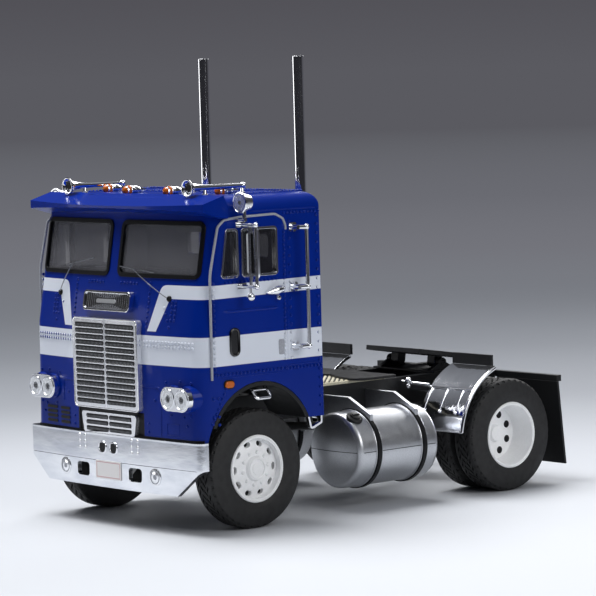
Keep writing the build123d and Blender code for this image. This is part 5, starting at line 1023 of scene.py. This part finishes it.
over = [pitch((-24.0, back + FRONT_Y), (24.0, back + FRONT_Y), 0.95) for back in (3.6, 15.0)]
roof_places = np.concatenate(along + over)
roof_points = np.hstack([roof_places, np.full((len(roof_places), 1), ROOF_Z)])
piece("roof_rivets", domes(roof_points, Z, 0.36, 0.34), enamel, "chassis")
print(len(places), "rivets on each side and", len(roof_places), "on the roof")

# %% [markdown]
# ### Door furniture
# Low in the door is a small black peep window with a thick rim. Behind it is a grey filler patch, and ahead of it
# an amber turn lamp on a black base. All are plates with rounded corners on the side's plane, and the lamp is
# thick enough for its edge to be rounded into a cushion.

# %% Door furniture
# thick glossy enamel: black, with a sharp reflection on it
glass_black, tree, shader = new_material("black_enamel_gloss", roughness=0.12, ior=1.5, coat_weight=0.5)
tinted(tree, shader, grain(tree, shader, 0.6, 0.004), "#08080A", "#101013")
PEEP_BACK, PEEP_Z = -6.85, 38.6
peep = rounded(2.1, 5.2, 0.9)
ring = at_side(peep + (PEEP_BACK, PEEP_Z), 0.12)
piece("peep_window_rim", mirrored(tube(ring, 0.3, 10, closed=True)), glass_black, "chassis")
FURNITURE = (("peep_window", peep, PEEP_BACK, PEEP_Z, 0.14, glass_black, "gasket_black", 0.0),
             ("side_patch", rounded(1.5, 3.1, 0.35), 5.5, 36.7, 0.09, grey_paint, "frame_grey", 0.04),
             ("side_turn_base", rounded(2.9, 1.9, 0.9), -8.6, 30.24, 0.12, gasket, "gasket_black", 0.04),
             ("side_turn_lamp", rounded(2.3, 1.35, 0.65), -8.6, 30.24, 0.45, amber, "clear_glazing", 0.15))
for name, outline, back, height, thickness, material, slot, edge in FURNITURE:
    patch = plate(outline, (CAB_HALF, FRONT_Y + back, height), Y, Z, thickness)
    piece(name, mirrored(patch), material, "chassis", edge=edge)
print(len(FURNITURE), "fittings on each door")

# %% [markdown]
# ## The roof
# ### Air horns
# Two long chrome horns lie along the roof. A horn's bell is hollow, so its profile runs out along the tube, over
# the rim, and back down into the throat, where a dark disc lies as painted shade. A ball closes its tail, and two
# short pillars carry it.

# %% Horns
HORN_X, HORN_Z, HORN_MOUTH, HORN_LENGTH = 20.0, 69.4, FRONT_Y - 11.3, 14.7
trumpet = [(0.10, 1.42), (0.02, 1.55), (0.0, 1.68), (0.06, 1.79), (0.25, 1.8), (0.5, 1.62), (1.0, 1.32), (1.7, 1.05),
           (2.6, 0.82), (4.0, 0.64), (7.0, 0.55), (HORN_LENGTH, 0.48), (HORN_LENGTH, 0.0), (3.4, 0.0), (3.2, 0.3),
           (2.2, 0.55), (1.2, 0.9), (0.5, 1.2), (0.10, 1.42)]
pillar = [(0, 0), (0, 0.62), (0.25, 0.5), (0.5, 0.35), (1.5, 0.35), (1.5, 0)]
mouth = (HORN_X, HORN_MOUTH, HORN_Z)
horn = joined(turned(trumpet, mouth, Y, 40), turned(ball(0.7), (HORN_X, HORN_MOUTH + HORN_LENGTH, HORN_Z), Y, 24),
              *[turned(pillar, (HORN_X, FRONT_Y + back, ROOF_Z), Z, 16) for back in (-6.6, 3.2)])
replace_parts(piece("air_horns_hollow", mirrored(horn), chrome, "chassis"), "air_horns")
# a dark disc deep in each bell: painted shade inside the horn
throat = turned([(0.55, 0), (0.55, 0.8), (0.61, 0.78), (0.61, 0)], mouth, Y, 32)
piece("horn_throat_shade", mirrored(throat), gasket, "chassis")
print("horns:", HORN_LENGTH, "mm long")

# %% [markdown]
# ### Marker lamps and spot lamps
# Four bullet marker lamps stand on the roof: an amber nose in a chrome collar. The nose is a quarter of an
# ellipse, turned. A round spot lamp stands beside the roof on each side, and is the same lamp as a headlamp with a
# deeper lens.

# %% Marker lamps and spot lamps
MARKER_Z = 68.4
share = np.linspace(0, 1, 7)
nose = np.stack([1.05 * (1 - np.sqrt(np.clip(1 - share ** 2, 0, None))) - 0.04, 1.03 * share], -1)
nose = np.concatenate([nose, [(1.5, 1.05), (1.6, 0.95), (1.6, 0)]])
collar = [(1.55, 0), (1.55, 1.08), (1.65, 1.12), (1.8, 1.08), (2.6, 0.98), (2.7, 0.9), (2.7, 0)]
for number, (across, back) in enumerate(((6.75, -6.6), (18.6, -2.6)), 1):
    for name, profile, material, slot, smooth in (("lens", nose, amber, "clear_glazing", 50.0),
                                                  ("collar", collar, chrome, "chrome_plate", 40.0)):
        patch = turned(profile, (across, FRONT_Y + back, MARKER_Z), Y, 28)
        piece(f"marker_{name}_{number}", mirrored(patch), material, "chassis", smooth=smooth)
for side, word in ((1, "left"), (-1, "right")):
    lamp(f"spot_lamp_{word}", (side * 30.6, FRONT_Y - 6.4 - 0.02, 66.5), LAMP_RADIUS, 0.45, chrome)
print("markers:", 2 * number)

# %% [markdown]
# ### Mirror details
# Under each mirror hangs a small ball lamp on a stem, and the mirror's back has a pale strip and a dark one
# pressed along it. The head is turned five degrees, so the strips lie in a plane turned by as much.

# %% Mirror details
MIRROR_TURN = math.radians(5)
facing = np.array((math.sin(MIRROR_TURN), -math.cos(MIRROR_TURN), 0))
across = np.array((math.cos(MIRROR_TURN), math.sin(MIRROR_TURN), 0))
back_of_head = np.array((31.2, FRONT_Y - 4.05, 56.3)) + facing * 0.4
hanger = joined(turned(ball(0.87, 11), (31.0, FRONT_Y - 4.5, 47.6), Z, 24),
                tube(line((31.0, FRONT_Y - 4.5, 48.3), (31.0, FRONT_Y - 4.55, 49.7), 3), 0.28, 10))
piece("mirror_ball_lamps", mirrored(hanger), chrome, "chassis")
for name, offset, width, material, slot in (("mirror_strips_pale", -0.5, 1.0, white_abs, "wheel_white"),
                                            ("mirror_strips_dark", 0.55, 0.45, gasket, "gasket_black")):
    strip = plate(rounded(width, 8.0, width * 0.45), back_of_head + across * offset, across, Z, 0.08)
    piece(name, mirrored(strip), material, "chassis")
print("mirror heads turned by", round(math.degrees(MIRROR_TURN)), "degrees")

# %% [markdown]
# ### Door handle
# A handle is a swollen bar over two feet, with a round lock below it. Its path is straight, and its thickness
# changes along it, which is what makes it look held in the hand rather than cut from rod.

# %% Door handle
HANDLE_THICKNESS = (0.25, 0.42, 0.6, 0.75, 0.85, 0.9, 0.85, 0.7, 0.4)
grip = np.stack([np.full(9, CAB_HALF + 0.75), np.linspace(1.4, 6.0, 9) + FRONT_Y, np.linspace(47.9, 48.6, 9)], -1)
bar = tube(grip, HANDLE_THICKNESS, 12)
lock = turned([(0, 0), (0, 0.5), (0.5, 0.55), (0.75, 0.4), (0.8, 0)], (CAB_HALF, FRONT_Y + 4.7, 46.75), X, 20)
feet = [turned([(-0.05, 0), (-0.05, radius), (0.75, radius - 0.1), (0.75, 0)], (CAB_HALF, FRONT_Y + back, z), X, 16)
        for radius, back, z in ((0.5, 2.0, 48.0), (0.6, 5.3, 48.5))]
handles = piece("door_handles_shaped", mirrored(joined(bar, lock, *feet)), chrome, "chassis")
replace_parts(handles, "door_handles")
print("handle:", 2 * max(HANDLE_THICKNESS), "mm thick at its widest")

# %% [markdown]
# ### Grab rail
# Behind the door a bright upright stands off the cab on three arms. Each arm starts at a small pad on the side
# and ends in a ball, through which the upright runs.

# %% Grab rail
RAIL_X, RAIL_Y, ARM_Z = 30.9, FRONT_Y + 10.7, (36.6, 48.7, 60.8)
collars = [tube(line((CAB_HALF, FRONT_Y + 9.3, z), (RAIL_X, RAIL_Y, z), 4), 0.5, 12) for z in ARM_Z]
pads = [plate(rounded(2.0, 1.9, 0.5), (CAB_HALF, FRONT_Y + 9.1, z), Y, Z, 0.3) for z in ARM_Z]
knobs = [turned(ball(0.62), (RAIL_X, RAIL_Y, z), Z, 20) for z in ARM_Z]
upright = tube(line((RAIL_X, RAIL_Y, ARM_Z[0]), (RAIL_X, RAIL_Y, ARM_Z[-1]), 12), 0.46, 12)
piece("grab_rail_fittings", mirrored(joined(*collars, *pads, *knobs, upright)), chrome, "chassis")
print("grab rail:", round(ARM_Z[-1] - ARM_Z[0], 1), "mm high on", len(ARM_Z), "arms")

# %% [markdown]
# ## Wheels
# The tyres are soft black vinyl with short slanting sipes in four rows and notches along the shoulders. A tyre is
# one grid: its rows run from bead to bead over the tread, its columns go round. Leaning the columns from row to
# row slants the cuts and leaves the round shape alone, and a cut is where the radius drops by less than half a
# millimetre.

# %% Tyres
SIPES = 42                      # cuts round the tyre in each row
CUT = np.array([0, 0.26, 0.3, 0.64, 0.68, 0.85])     # columns within one pitch; the middle two are sunk
SUNK = np.array([0, 0, 1, 1, 0, 0], float)
TYRE_HALF, TYRE_RADIUS, SHOULDER, BEAD = 3.15, 12.2, 1.1, 6.9    # half width, radius, its rounding, the hole


def tyre_rows():
    """Rows of the tyre from bead to bead: across from its middle, radius, depth of the cuts, lean of the columns."""
    wall = [(TYRE_HALF - 0.3 * (2 * t - 1) ** 2 - 0.12 * (t < 0.05), BEAD + (TYRE_RADIUS - SHOULDER - BEAD) * t, 0, 0)
            for t in np.linspace(0, 1, 8)]
    bend = [(TYRE_HALF - 0.3 - SHOULDER + SHOULDER * math.cos(a), TYRE_RADIUS - SHOULDER + SHOULDER * math.sin(a),
             depth, 0) for a, depth in ((0.25, 0), (0.5, 0), (0.54, 0.32), (1.0, 0.32), (1.04, 0), (1.35, 0))]
    tread = []
    for start, end, lean in ((1.65, 0.98, 0.5), (0.8, 0.12, -0.5)):
        tread += [(start, TYRE_RADIUS, 0, 0), (start - 0.04, TYRE_RADIUS, 0.42, 0),
                  (end + 0.04, TYRE_RADIUS, 0.42, lean), (end, TYRE_RADIUS, 0, lean)]
    near = np.array(wall + bend + tread)
    return np.concatenate([near, near[::-1] * (-1, 1, 1, -1)])


def tyre(outer_x, axle_y, side):
    """One tyre: a point of row i and column j stands at the row's radius, less its cut, at the column's angle plus
    the row's lean. Rows close through the bead, and columns close round the wheel."""
    across, radius, depth, lean = tyre_rows().T
    turn = ((np.arange(SIPES)[:, None] + CUT[None, :]) / SIPES * 2 * np.pi).ravel()
    sunk = np.tile(SUNK, SIPES)
    angle = turn[None, :] + (lean * 2 * np.pi / SIPES)[:, None]
    length = radius[:, None] - depth[:, None] * sunk[None, :]
    x = np.broadcast_to((outer_x - TYRE_HALF + across)[:, None], angle.shape)
    points = np.stack([side * x, axle_y + length * np.cos(angle), AXLE_Z + length * np.sin(angle)], -1)
    return points.reshape(-1, 3), squares(len(across), len(turn), wrap_rows=True, wrap_columns=True)


for word, axle_y, outer_sides in (("front", FRONT_Y, (26.4,)), ("rear", REAR_Y, (29.1, 22.1))):
    patch = joined(*[tyre(outer, axle_y, side) for side in (1, -1) for outer in outer_sides])
    tyres = piece(f"{word}_tyres_treaded", patch, vinyl, f"{word}_wheels", smooth=28)
    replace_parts(tyres, f"{word}_tyres")
    print(word, "tyres:", len(tyres.data.polygons), "faces")

# %% [markdown]
# ### Rims
# Moulded white wheels carry ten domed wheel nuts round the hub and a rounded lip at the tyre's bead. The lip is a
# ring of round bar, and both turn with the wheels because they ride on them.

# %% Wheel nuts and lips
def wheel_ring(axle_y, ring_radius, x, thick, sides=10, steps=72):
    """A torus round the axle's line at `x` along it, on both wheels."""
    t = np.linspace(0, 2 * np.pi, steps, endpoint=False)
    path = np.stack([np.full(steps, x), axle_y + ring_radius * np.cos(t), AXLE_Z + ring_radius * np.sin(t)], -1)
    return mirrored(tube(path, thick, sides, closed=True))


def wheel_domes(axle_y, ring_radius, x, count, radius, height, start, sides):
    """Domes evenly round a ring from the angle `start`, facing along the axle, on both wheels."""
    t = np.arange(count) * 2 * np.pi / count + start
    centres = np.stack([np.full(count, x), axle_y + ring_radius * np.cos(t), AXLE_Z + ring_radius * np.sin(t)], -1)
    return mirrored(domes(centres, X, radius, height, sides))


nuts = wheel_domes(FRONT_Y, 3.3, 25.58, 10, 0.46, 0.42, 0.16, 12)
piece("front_wheel_nuts", nuts, white_abs, "front_wheels")
piece("front_rim_lips", wheel_ring(FRONT_Y, 6.62, 26.12, 0.26), white_abs, "front_wheels")
piece("rear_rim_lips", wheel_ring(REAR_Y, 6.92, 28.82, 0.24), white_abs, "rear_wheels")
print("wheel nuts:", len(nuts[1]), "faces on a pair")

# %% [markdown]
# ### Hubs and hand holes
# The front hub ends in a rounded collar round a flat cap, with grey painted in the valley between the two as its
# shade. The rear wheels are dished, and black discs over their hand holes are painted shade. Rings of darker
# plastic behind both rims stand for the shade inside.

# %% Hubs and hand holes
hub = (26.1, FRONT_Y, AXLE_Z)
hub_collar = [(-0.1, 2.2), (0.26, 2.15), (0.34, 1.98), (0.26, 1.82), (0.02, 1.74), (0.02, 1.36), (0.2, 1.3),
              (0.32, 1.0), (0.36, 0)]
piece("front_hub_rings", mirrored(turned(hub_collar, hub, X, 48)), white_abs, "front_wheels")
# a grey ring in the valley between collar and cap: painted shade
valley_shade = [(0.03, 1.4), (0.03, 1.72), (0.08, 1.72), (0.08, 1.4), (0.03, 1.4)]
piece("front_hub_valley_shade", mirrored(turned(valley_shade, hub, X, 48)), grey_paint, "front_wheels")
# black discs over the rear hand holes: painted shade inside them
hand_hole_shades = wheel_domes(REAR_Y, 4.2, 23.5, 8, 0.85, 0.03, np.pi / 8, 20)
piece("rear_hand_hole_shades", hand_hole_shades, gasket, "rear_wheels")
for word, axle_y, inner, outer, x in (("front", FRONT_Y, 4.4, 5.95, 24.0), ("rear", REAR_Y, 3.4, 5.0, 22.3)):
    disc = [(0, inner), (0, outer), (0.1, outer), (0.1, inner), (0, inner)]
    shade = mirrored(turned(disc, (x, axle_y, AXLE_Z), X, 48))
    piece(f"{word}_hole_shades", shade, black_abs, f"{word}_wheels")
print("hub collar:", 2 * hub_collar[0][1], "mm across")

# %% [markdown]
# ## The chassis
# ### Tanks
# Each tank is two cast halves, so a fine dark line runs along its middle, and the strap seats stand up as low
# silver lips. A lip is a bar bent round the tank, so its path is an arc.

# %% Tank seams and lips
TANK_X, TANK_Z, TANK_R, TANK_Y, TANK_END = 19.95, 12.6, 8.05, FRONT_Y + 26.5, FRONT_Y + 49.5


def tank_arc(y, radius, thick, low=-95, high=120):
    """A bar round the tank's outer side at one place along it, between two angles from its outermost line."""
    t = np.radians(np.linspace(low, high, 60))
    path = np.stack([TANK_X + radius * np.cos(t), np.full(len(t), y), TANK_Z + radius * np.sin(t)], -1)
    return tube(path, thick, 8)


seams = boxes([(TANK_X + TANK_R, (TANK_Y + TANK_END) / 2, TANK_Z), (TANK_X, TANK_Y - 0.01, TANK_Z),
               (TANK_X, TANK_END + 0.01, TANK_Z)],
              [(0.05, (TANK_END - TANK_Y) / 2 - 1.2, 0.07), (7.2, 0.05, 0.08), (7.2, 0.05, 0.08)])
piece("tank_seams", mirrored(seams), gasket, "chassis")
lips = [tank_arc(y + offset, TANK_R + 0.02, 0.17) for y in (TANK_Y + 5.5, TANK_END - 4.5) for offset in (-0.72, 0.72)]
piece("tank_strap_lips", mirrored(joined(*lips)), silver, "chassis")
print("tank:", TANK_END - TANK_Y, "mm long")

# %% [markdown]
# ### Filler caps and tank ends
# A black filler cap sits on the upper outer side, square to the curve there, with a bar across it to turn it by.
# The ends are shallow domes, and the casting seam runs over them as well, along the same curve.

# %% Filler caps and tank ends
outwards = np.array((24.0 - TANK_X, 0, 19.3 - TANK_Z))
outwards /= np.linalg.norm(outwards)
seat = np.array((TANK_X, FRONT_Y + 28.6, TANK_Z)) + outwards * TANK_R
cap = [(-0.5, 0), (-0.5, 1.75), (0.35, 1.75), (0.5, 1.6), (0.55, 1.15), (0.9, 1.1), (0.95, 0.95), (0.95, 0)]
turning_bar = tube(line(seat + outwards - 0.9 * Y, seat + outwards + 0.9 * Y, 4), 0.22, 8)
piece("filler_caps", mirrored(joined(turned(cap, seat, outwards, 32), turning_bar)), black_abs, "chassis")
END_RADIUS, END_BULGE = 7.1, 0.75
share = np.linspace(0, 1, 9)
dome = np.stack([0.02 + END_BULGE * (1 - share ** 2), END_RADIUS * share], -1)
dome = np.concatenate([dome, [(-0.2, END_RADIUS), (-0.2, 0)]])
across = np.linspace(-7.0, 7.0, 15)
sag = 0.02 + END_BULGE * (1 - (across / END_RADIUS) ** 2)
ends, end_seams = [], []
for y, side in ((TANK_Y, -1), (TANK_END, 1)):
    ends.append(turned(dome, (TANK_X, y, TANK_Z), side * Y, 48))
    seam = np.stack([TANK_X + across, y + side * (sag - 0.01), np.full(len(across), TANK_Z)], -1)
    end_seams.append(tube(seam, 0.08, 6))
piece("tank_ends", mirrored(joined(*ends)), silver, "chassis", smooth=50)
piece("tank_end_seams", mirrored(joined(*end_seams)), gasket, "chassis")
print("tank ends bulge by", END_BULGE, "mm")

# %% [markdown]
# ### Fenders
# Over the front of each rear wheel stands a chrome quarter fender. A rod crosses it half way up, and below the
# rod three ribs end in small balls above a plain bright band. The edge is rolled to a bead. All of these are places
# on one cylinder round the axle, given by an angle, so a path along it is just a row of angles.

# %% Fender details
FENDER_R, ROD_ANGLE, RIB_ANGLE = 16.4, 41.5, 22.0
RIB_X, FENDER_IN, FENDER_OUT = (17.6, 22.4, 27.2), 16.7, 29.7


def on_fender(x, degrees, lift=0.0):
    """A place on the fender's outer face: round the rear axle by an angle up from the horizontal, forwards."""
    angle = np.radians(np.asarray(degrees, float))
    radius = FENDER_R + lift
    across = np.broadcast_to(x, angle.shape)
    return np.stack([across, REAR_Y - radius * np.cos(angle), AXLE_Z + radius * np.sin(angle)], -1)


def fender_bar(degrees, lift):
    """A bar across the whole fender at one angle."""
    return tube(line(on_fender(FENDER_IN, degrees, lift), on_fender(FENDER_OUT, degrees, lift), 4), 0.3, 12)


ribs = [tube(on_fender(x, np.linspace(RIB_ANGLE, ROD_ANGLE, 9), 0.02), 0.2, 10) for x in RIB_X]
feet = np.stack([on_fender(x, RIB_ANGLE) for x in RIB_X])
balls = domes(feet, on_fender(0.0, RIB_ANGLE, 1.0) - on_fender(0.0, RIB_ANGLE), 0.42, 0.5, 14)
edge = tube(on_fender(29.75, np.linspace(7.5, 70, 40), -0.3), 0.42, 12)
stay = joined(tube(line((9.9, 21.0, 24.1), (16.8, 22.9, 23.6), 4), 0.3, 10),
              turned(ball(0.75), (12.2, 21.0, 24.4), Z, 20), turned(ball(0.55), (12.2, 21.0, 23.2), Z, 20))
bright = joined(*ribs, balls, fender_bar(ROD_ANGLE, 0.1), edge, stay, fender_bar(8.0, -0.1))
piece("fender_ribs", mirrored(bright), chrome, "chassis")
print("fender:", len(ribs), "ribs")

# %% [markdown]
# ### Deck
# The walk-on plate behind the cab is pale, with ribs that cross it slantwise and black strips between them,
# painted shade in the grooves. A rib is a long thin box, cut off where it meets the plate's edges. Over its rear
# lies a black cover.

# %% Deck ribs
low, high = (np.array(corner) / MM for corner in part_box("deck_plate"))
low_x, low_y, high_x, high_y = low[0] + 0.4, low[1] + 0.3, high[0] - 0.4, high[1] - 0.3


def slanting(sums, half_width, bottom, top):
    """Long boxes along x + y = sum, from edge to edge of the deck: each has its two ends, its two sides square to
    its length, and its bottom and top."""
    start_y = np.maximum(low_y, sums - high_x)
    end_y = np.minimum(high_y, sums - low_x)
    keep = end_y - start_y > 0.4
    sums, start_y, end_y = sums[keep], start_y[keep], end_y[keep]
    end = np.where(CORNERS[None, :, 0] < 0, start_y[:, None], end_y[:, None])
    shift = CORNERS[None, :, 1] * half_width / math.sqrt(2)
    x = np.clip(sums[:, None] - end + shift, low_x, high_x)
    y = np.clip(end + shift, low_y, high_y)
    z = np.where(CORNERS[None, :, 2] < 0, bottom, top) + 0 * x
    faces = SIDES[None] + 8 * np.arange(len(sums))[:, None, None]
    return np.stack([x, y, z], -1).reshape(-1, 3), faces.reshape(-1, 4)


RIB_PITCH = 1.0 * math.sqrt(2)          # ribs a millimetre apart are this far apart along the deck
sums = np.arange(low_x + low_y + 0.7, high_x + high_y, RIB_PITCH)
ribs = slanting(sums, 0.32, high[2] - 0.05, high[2] + 0.12)
piece("deck_ribs", ribs, cream_abs, "chassis", edge=0.05)
# black strips between the ribs: painted shade in the grooves
groove_shades = slanting(sums + RIB_PITCH / 2, 0.2, high[2] - 0.05, high[2] + 0.1)
piece("deck_groove_shades", groove_shades, black_abs, "chassis")
COVER_SIDE = np.array(((0, 43.3), (2, 42.4), (4.4, 41.3), (6.4, 40.6), (8.4, 40.15), (10.4, 40.05), (12.0, 40.7),
                       (12.9, 42.0), (13.2, 43.6)))
front_edge = np.concatenate([COVER_SIDE[::-1] * (-1, 1), COVER_SIDE[1:]]) + (0, FRONT_Y)
cover = np.concatenate([front_edge, [(13.2, high[1] + 0.2), (-13.2, high[1] + 0.2)]])
piece("deck_cover", plate(cover, (0, 0, high[2] - 0.02), X, Y, 0.6), black_abs, "chassis", edge=0.15)
print(len(sums), "deck ribs, deck from", low.round(1), "to", high.round(1))

# %% [markdown]
# ## The studio
# ### Floor
# A small model looks best on a sweep of pale card: near the object it is almost white and it falls off to grey
# behind. Here the floor is one wide disc whose colour fades with the distance from one spot, a pool of light painted
# into the card. Beyond half a metre the card glows with its own grey as painted light, and only on the side of the
# backdrop. The room opposite is painted dark as shade, which gives chrome and glass something dark to mirror.

# %% Floor
FLOOR_RADIUS, FLOOR_DROP = 12000.0, 0.01
# the middle of the pool of light that is painted into the floor's colour
LIGHT_POOL_MIDDLE = (0.09, -0.079, 0)   # metres, off the truck's front left corner
FADE_REACH = 4.0                # metres over which the stops below are spread
# the painted pool of light near the object, and the painted glow of the far card
LIGHT_POOL_STOPS = ((0.02, "#C3C6CB"), (0.05, "#B0B3B9"), (0.08, "#8A8D93"), (0.116, "#787B81"), (1.0, "#62636A"))
FAR_GLOW_STOPS = ((0.17, "#797C83"), (0.25, "#73747B"), (0.4, "#6A6B72"), (0.75, "#616268"), (1.0, "#5A5A60"))
BACKDROP, UNLIT = (-0.755, 0.656, 0.0), "#28282C"     # the side that is lit, and the room opposite it
ring = np.concatenate([[1e-3], np.geomspace(60, FLOOR_RADIUS, 40)])
turn = np.linspace(0, 2 * np.pi, 96, endpoint=False)
r, a = np.meshgrid(ring, turn, indexing="ij")
points = np.stack([r * np.cos(a), r * np.sin(a), 0 * r - FLOOR_DROP], -1).reshape(-1, 3) * MM
floor_mesh = bpy.data.meshes.new("floor")
floor_mesh.from_pydata(points.tolist(), [], squares(len(ring), len(turn), wrap_columns=True)[:, ::-1].tolist())
floor = bpy.data.objects.new("floor", floor_mesh)
bpy.context.scene.collection.objects.link(floor)

# matt card: a soft shadow and no reflection
card, tree, shader = new_material("card_matt_with_painted_light", roughness=0.6, ior=1.4, specular_ior_level=0.3)
place = node(tree, "ShaderNodeTexCoord")
from_light_pool = node(tree, "ShaderNodeVectorMath", [place.outputs["Object"], LIGHT_POOL_MIDDLE], operation="SUBTRACT")
reach = node(tree, "ShaderNodeVectorMath", [from_light_pool], operation="LENGTH")
outwards = node(tree, SUM, [reach.outputs["Value"], FADE_REACH], operation="DIVIDE", use_clamp=True)
# the card's colour fades from the middle of the pool: painted light
light_pool = node(tree, "ShaderNodeValToRGB", {"Fac": outwards})
far = node(tree, "ShaderNodeValToRGB", {"Fac": outwards})
for made, stops in ((light_pool, LIGHT_POOL_STOPS), (far, FAR_GLOW_STOPS)):
    while len(made.color_ramp.elements) < len(stops):
        made.color_ramp.elements.new(0.5)
    for element, (position, code) in zip(made.color_ramp.elements, stops):
        element.position, element.color = position, colour(code)
tree.links.new(light_pool.outputs[0], shader.inputs["Base Color"])
away = node(tree, "ShaderNodeVectorMath", [place.outputs["Object"]], operation="NORMALIZE")
behind = node(tree, "ShaderNodeVectorMath", [away.outputs[0], BACKDROP], operation="DOT_PRODUCT")
lit = node(tree, "ShaderNodeMapRange", {"Value": behind.outputs["Value"], "From Min": -0.35, "From Max": 0.6},
           interpolation_type="SMOOTHSTEP")
# far out the card glows: painted light on the backdrop's side, painted shade opposite
shown = node(tree, "ShaderNodeMix", {"Factor": lit, 6: colour(UNLIT), 7: far.outputs[0]}, data_type="RGBA")
glow = node(tree, "ShaderNodeEmission", {"Color": shown.outputs[2]})
share = node(tree, "ShaderNodeMapRange", {"Value": reach.outputs["Value"], "From Min": 0.4, "From Max": 0.8},
             interpolation_type="SMOOTHSTEP")
blend = node(tree, "ShaderNodeMixShader", [share, shader.outputs[0], glow.outputs[0]])
tree.links.new(blend.outputs[0], tree.nodes["Material Output"].inputs["Surface"])
floor_mesh.materials.append(card)
print("floor:", 2 * FLOOR_RADIUS / 1000, "m across")

# %% [markdown]
# ### World
# The world carries on where the floor ends, so no horizon shows. It is a ramp by the height of the direction that
# is looked in: the grey of the far floor at the foot, darker above it, and a bright ceiling. Away from the
# backdrop everything under the ceiling is dark, as in the floor.

# %% World
ROOM = ((0.0, "#5A5A60"), (0.03, "#515056"), (0.15, "#3C3D42"), (0.4, "#4C4D52"), (0.7, "#85878C"), (1.0, "#B0B2B6"))
world = bpy.data.worlds.new("soft_room")
bpy.context.scene.world = world
world.use_nodes = True
tree = world.node_tree
place = node(tree, "ShaderNodeTexCoord")
height = node(tree, "ShaderNodeSeparateXYZ", {"Vector": place.outputs["Generated"]})
sky = node(tree, "ShaderNodeValToRGB", {"Fac": height.outputs[2]})
while len(sky.color_ramp.elements) < len(ROOM):
    sky.color_ramp.elements.new(0.5)
for element, (position, code) in zip(sky.color_ramp.elements, ROOM):
    element.position, element.color = position, colour(code)
behind = node(tree, "ShaderNodeVectorMath", [place.outputs["Generated"], BACKDROP], operation="DOT_PRODUCT")
lit = node(tree, "ShaderNodeMapRange", {"Value": behind.outputs["Value"], "From Min": -0.35, "From Max": 0.6},
           interpolation_type="SMOOTHSTEP")
ceiling = node(tree, "ShaderNodeMapRange", {"Value": height.outputs[2], "From Min": 0.2, "From Max": 0.6})
either = node(tree, SUM, [lit, ceiling], operation="MAXIMUM")
shown = node(tree, "ShaderNodeMix", {"Factor": either, 6: colour(UNLIT), 7: sky.outputs[0]}, data_type="RGBA")
background = tree.nodes["Background"]
tree.links.new(shown.outputs[2], background.inputs["Color"])
background.inputs["Strength"].default_value = 1.0
print("world:", len(tree.nodes), "nodes")

# %% [markdown]
# ### Studio lamps
# Soft light comes from large lamps near the object. A key panel hangs above and ahead, one panel stands on each
# side of the rear, and a low weak one gives the chrome in front a window to mirror. Each is set by where it is
# and where it looks, and the axes of its matrix follow from the two.

# %% Studio lamps
def looking(start, right, up, back):
    """The matrix of an object at `start` whose own axes are right, up and back."""
    return Matrix([[right[i], up[i], back[i], start[i]] for i in range(3)] + [[0, 0, 0, 1]])


def panel(name, place, aim, width, height, watts):
    """A soft rectangular lamp at one point, turned towards another, both in millimetres."""
    light = bpy.data.lights.new(name, "AREA")
    light.shape = "RECTANGLE"
    light.size, light.size_y, light.energy = width * MM, height * MM, watts
    holder = bpy.data.objects.new(name, light)
    bpy.context.scene.collection.objects.link(holder)
    start, end = np.array(place, float) * MM, np.array(aim, float) * MM
    back = (start - end) / np.linalg.norm(start - end)
    right = np.cross(Z, back)
    right /= np.linalg.norm(right)
    holder.matrix_world = looking(start, right, np.cross(back, right), back)


panel("key_panel", (-170, -120, 600), (0, -10, 30), 420, 420, 6.0)
panel("window_panel", (-560, -480, 62), (0, -20, 50), 230, 100, 0.16)
panel("side_panel", (560, 60, 330), (0, 0, 30), 420, 320, 1.5)
panel("rear_panel", (-200, 520, 360), (0, 0, 40), 380, 260, 1.5)
print(len(bpy.data.lights), "lamps")

# %% [markdown]
# ### Camera
# The model is seen from its front left corner and slightly above, from about 0.6 m, with a long lens, so that
# its near and far sides keep nearly the same size. The camera is worked out rather than placed by hand: two angles
# give the line of sight, and a small roll turns the picture about it.

# %% Camera
AZIMUTH, HEIGHT_ANGLE, ROLL = math.radians(48.99), math.radians(4.388), math.radians(-1.52)
DISTANCE, LENS_PIXELS, PICTURE, SENSOR = 632.406, 2941.124, 596, 36.0
ASIDE, TARGET_Y, TARGET_Z = 3.694, 30.0 + FRONT_Y, 43.607     # the point looked at, and how far it is shifted aside
back = np.array([math.sin(AZIMUTH) * math.cos(HEIGHT_ANGLE), -math.cos(AZIMUTH) * math.cos(HEIGHT_ANGLE),
                 math.sin(HEIGHT_ANGLE)])
level = np.array([math.cos(AZIMUTH), math.sin(AZIMUTH), 0.0])
upright = np.cross(back, level)
right = level * math.cos(ROLL) + upright * math.sin(ROLL)
up = upright * math.cos(ROLL) - level * math.sin(ROLL)
target = np.array([ASIDE * level[0], TARGET_Y + ASIDE * level[1], TARGET_Z])
eye = target + back * DISTANCE
lens = bpy.data.cameras.new("camera")
lens.sensor_fit = "HORIZONTAL"
lens.sensor_width = SENSOR
lens.lens = SENSOR * LENS_PIXELS / PICTURE
lens.clip_start, lens.clip_end = 0.01, 50.0
lens.dof.use_dof = False
camera = bpy.data.objects.new("camera", lens)
bpy.context.scene.collection.objects.link(camera)
camera.matrix_world = looking(eye * MM, right, up, back)
bpy.context.scene.camera = camera
bpy.context.scene.view_settings.view_transform = "Standard"
print("camera at", (eye / 10).round(1), "cm, lens", round(lens.lens, 1), "mm")
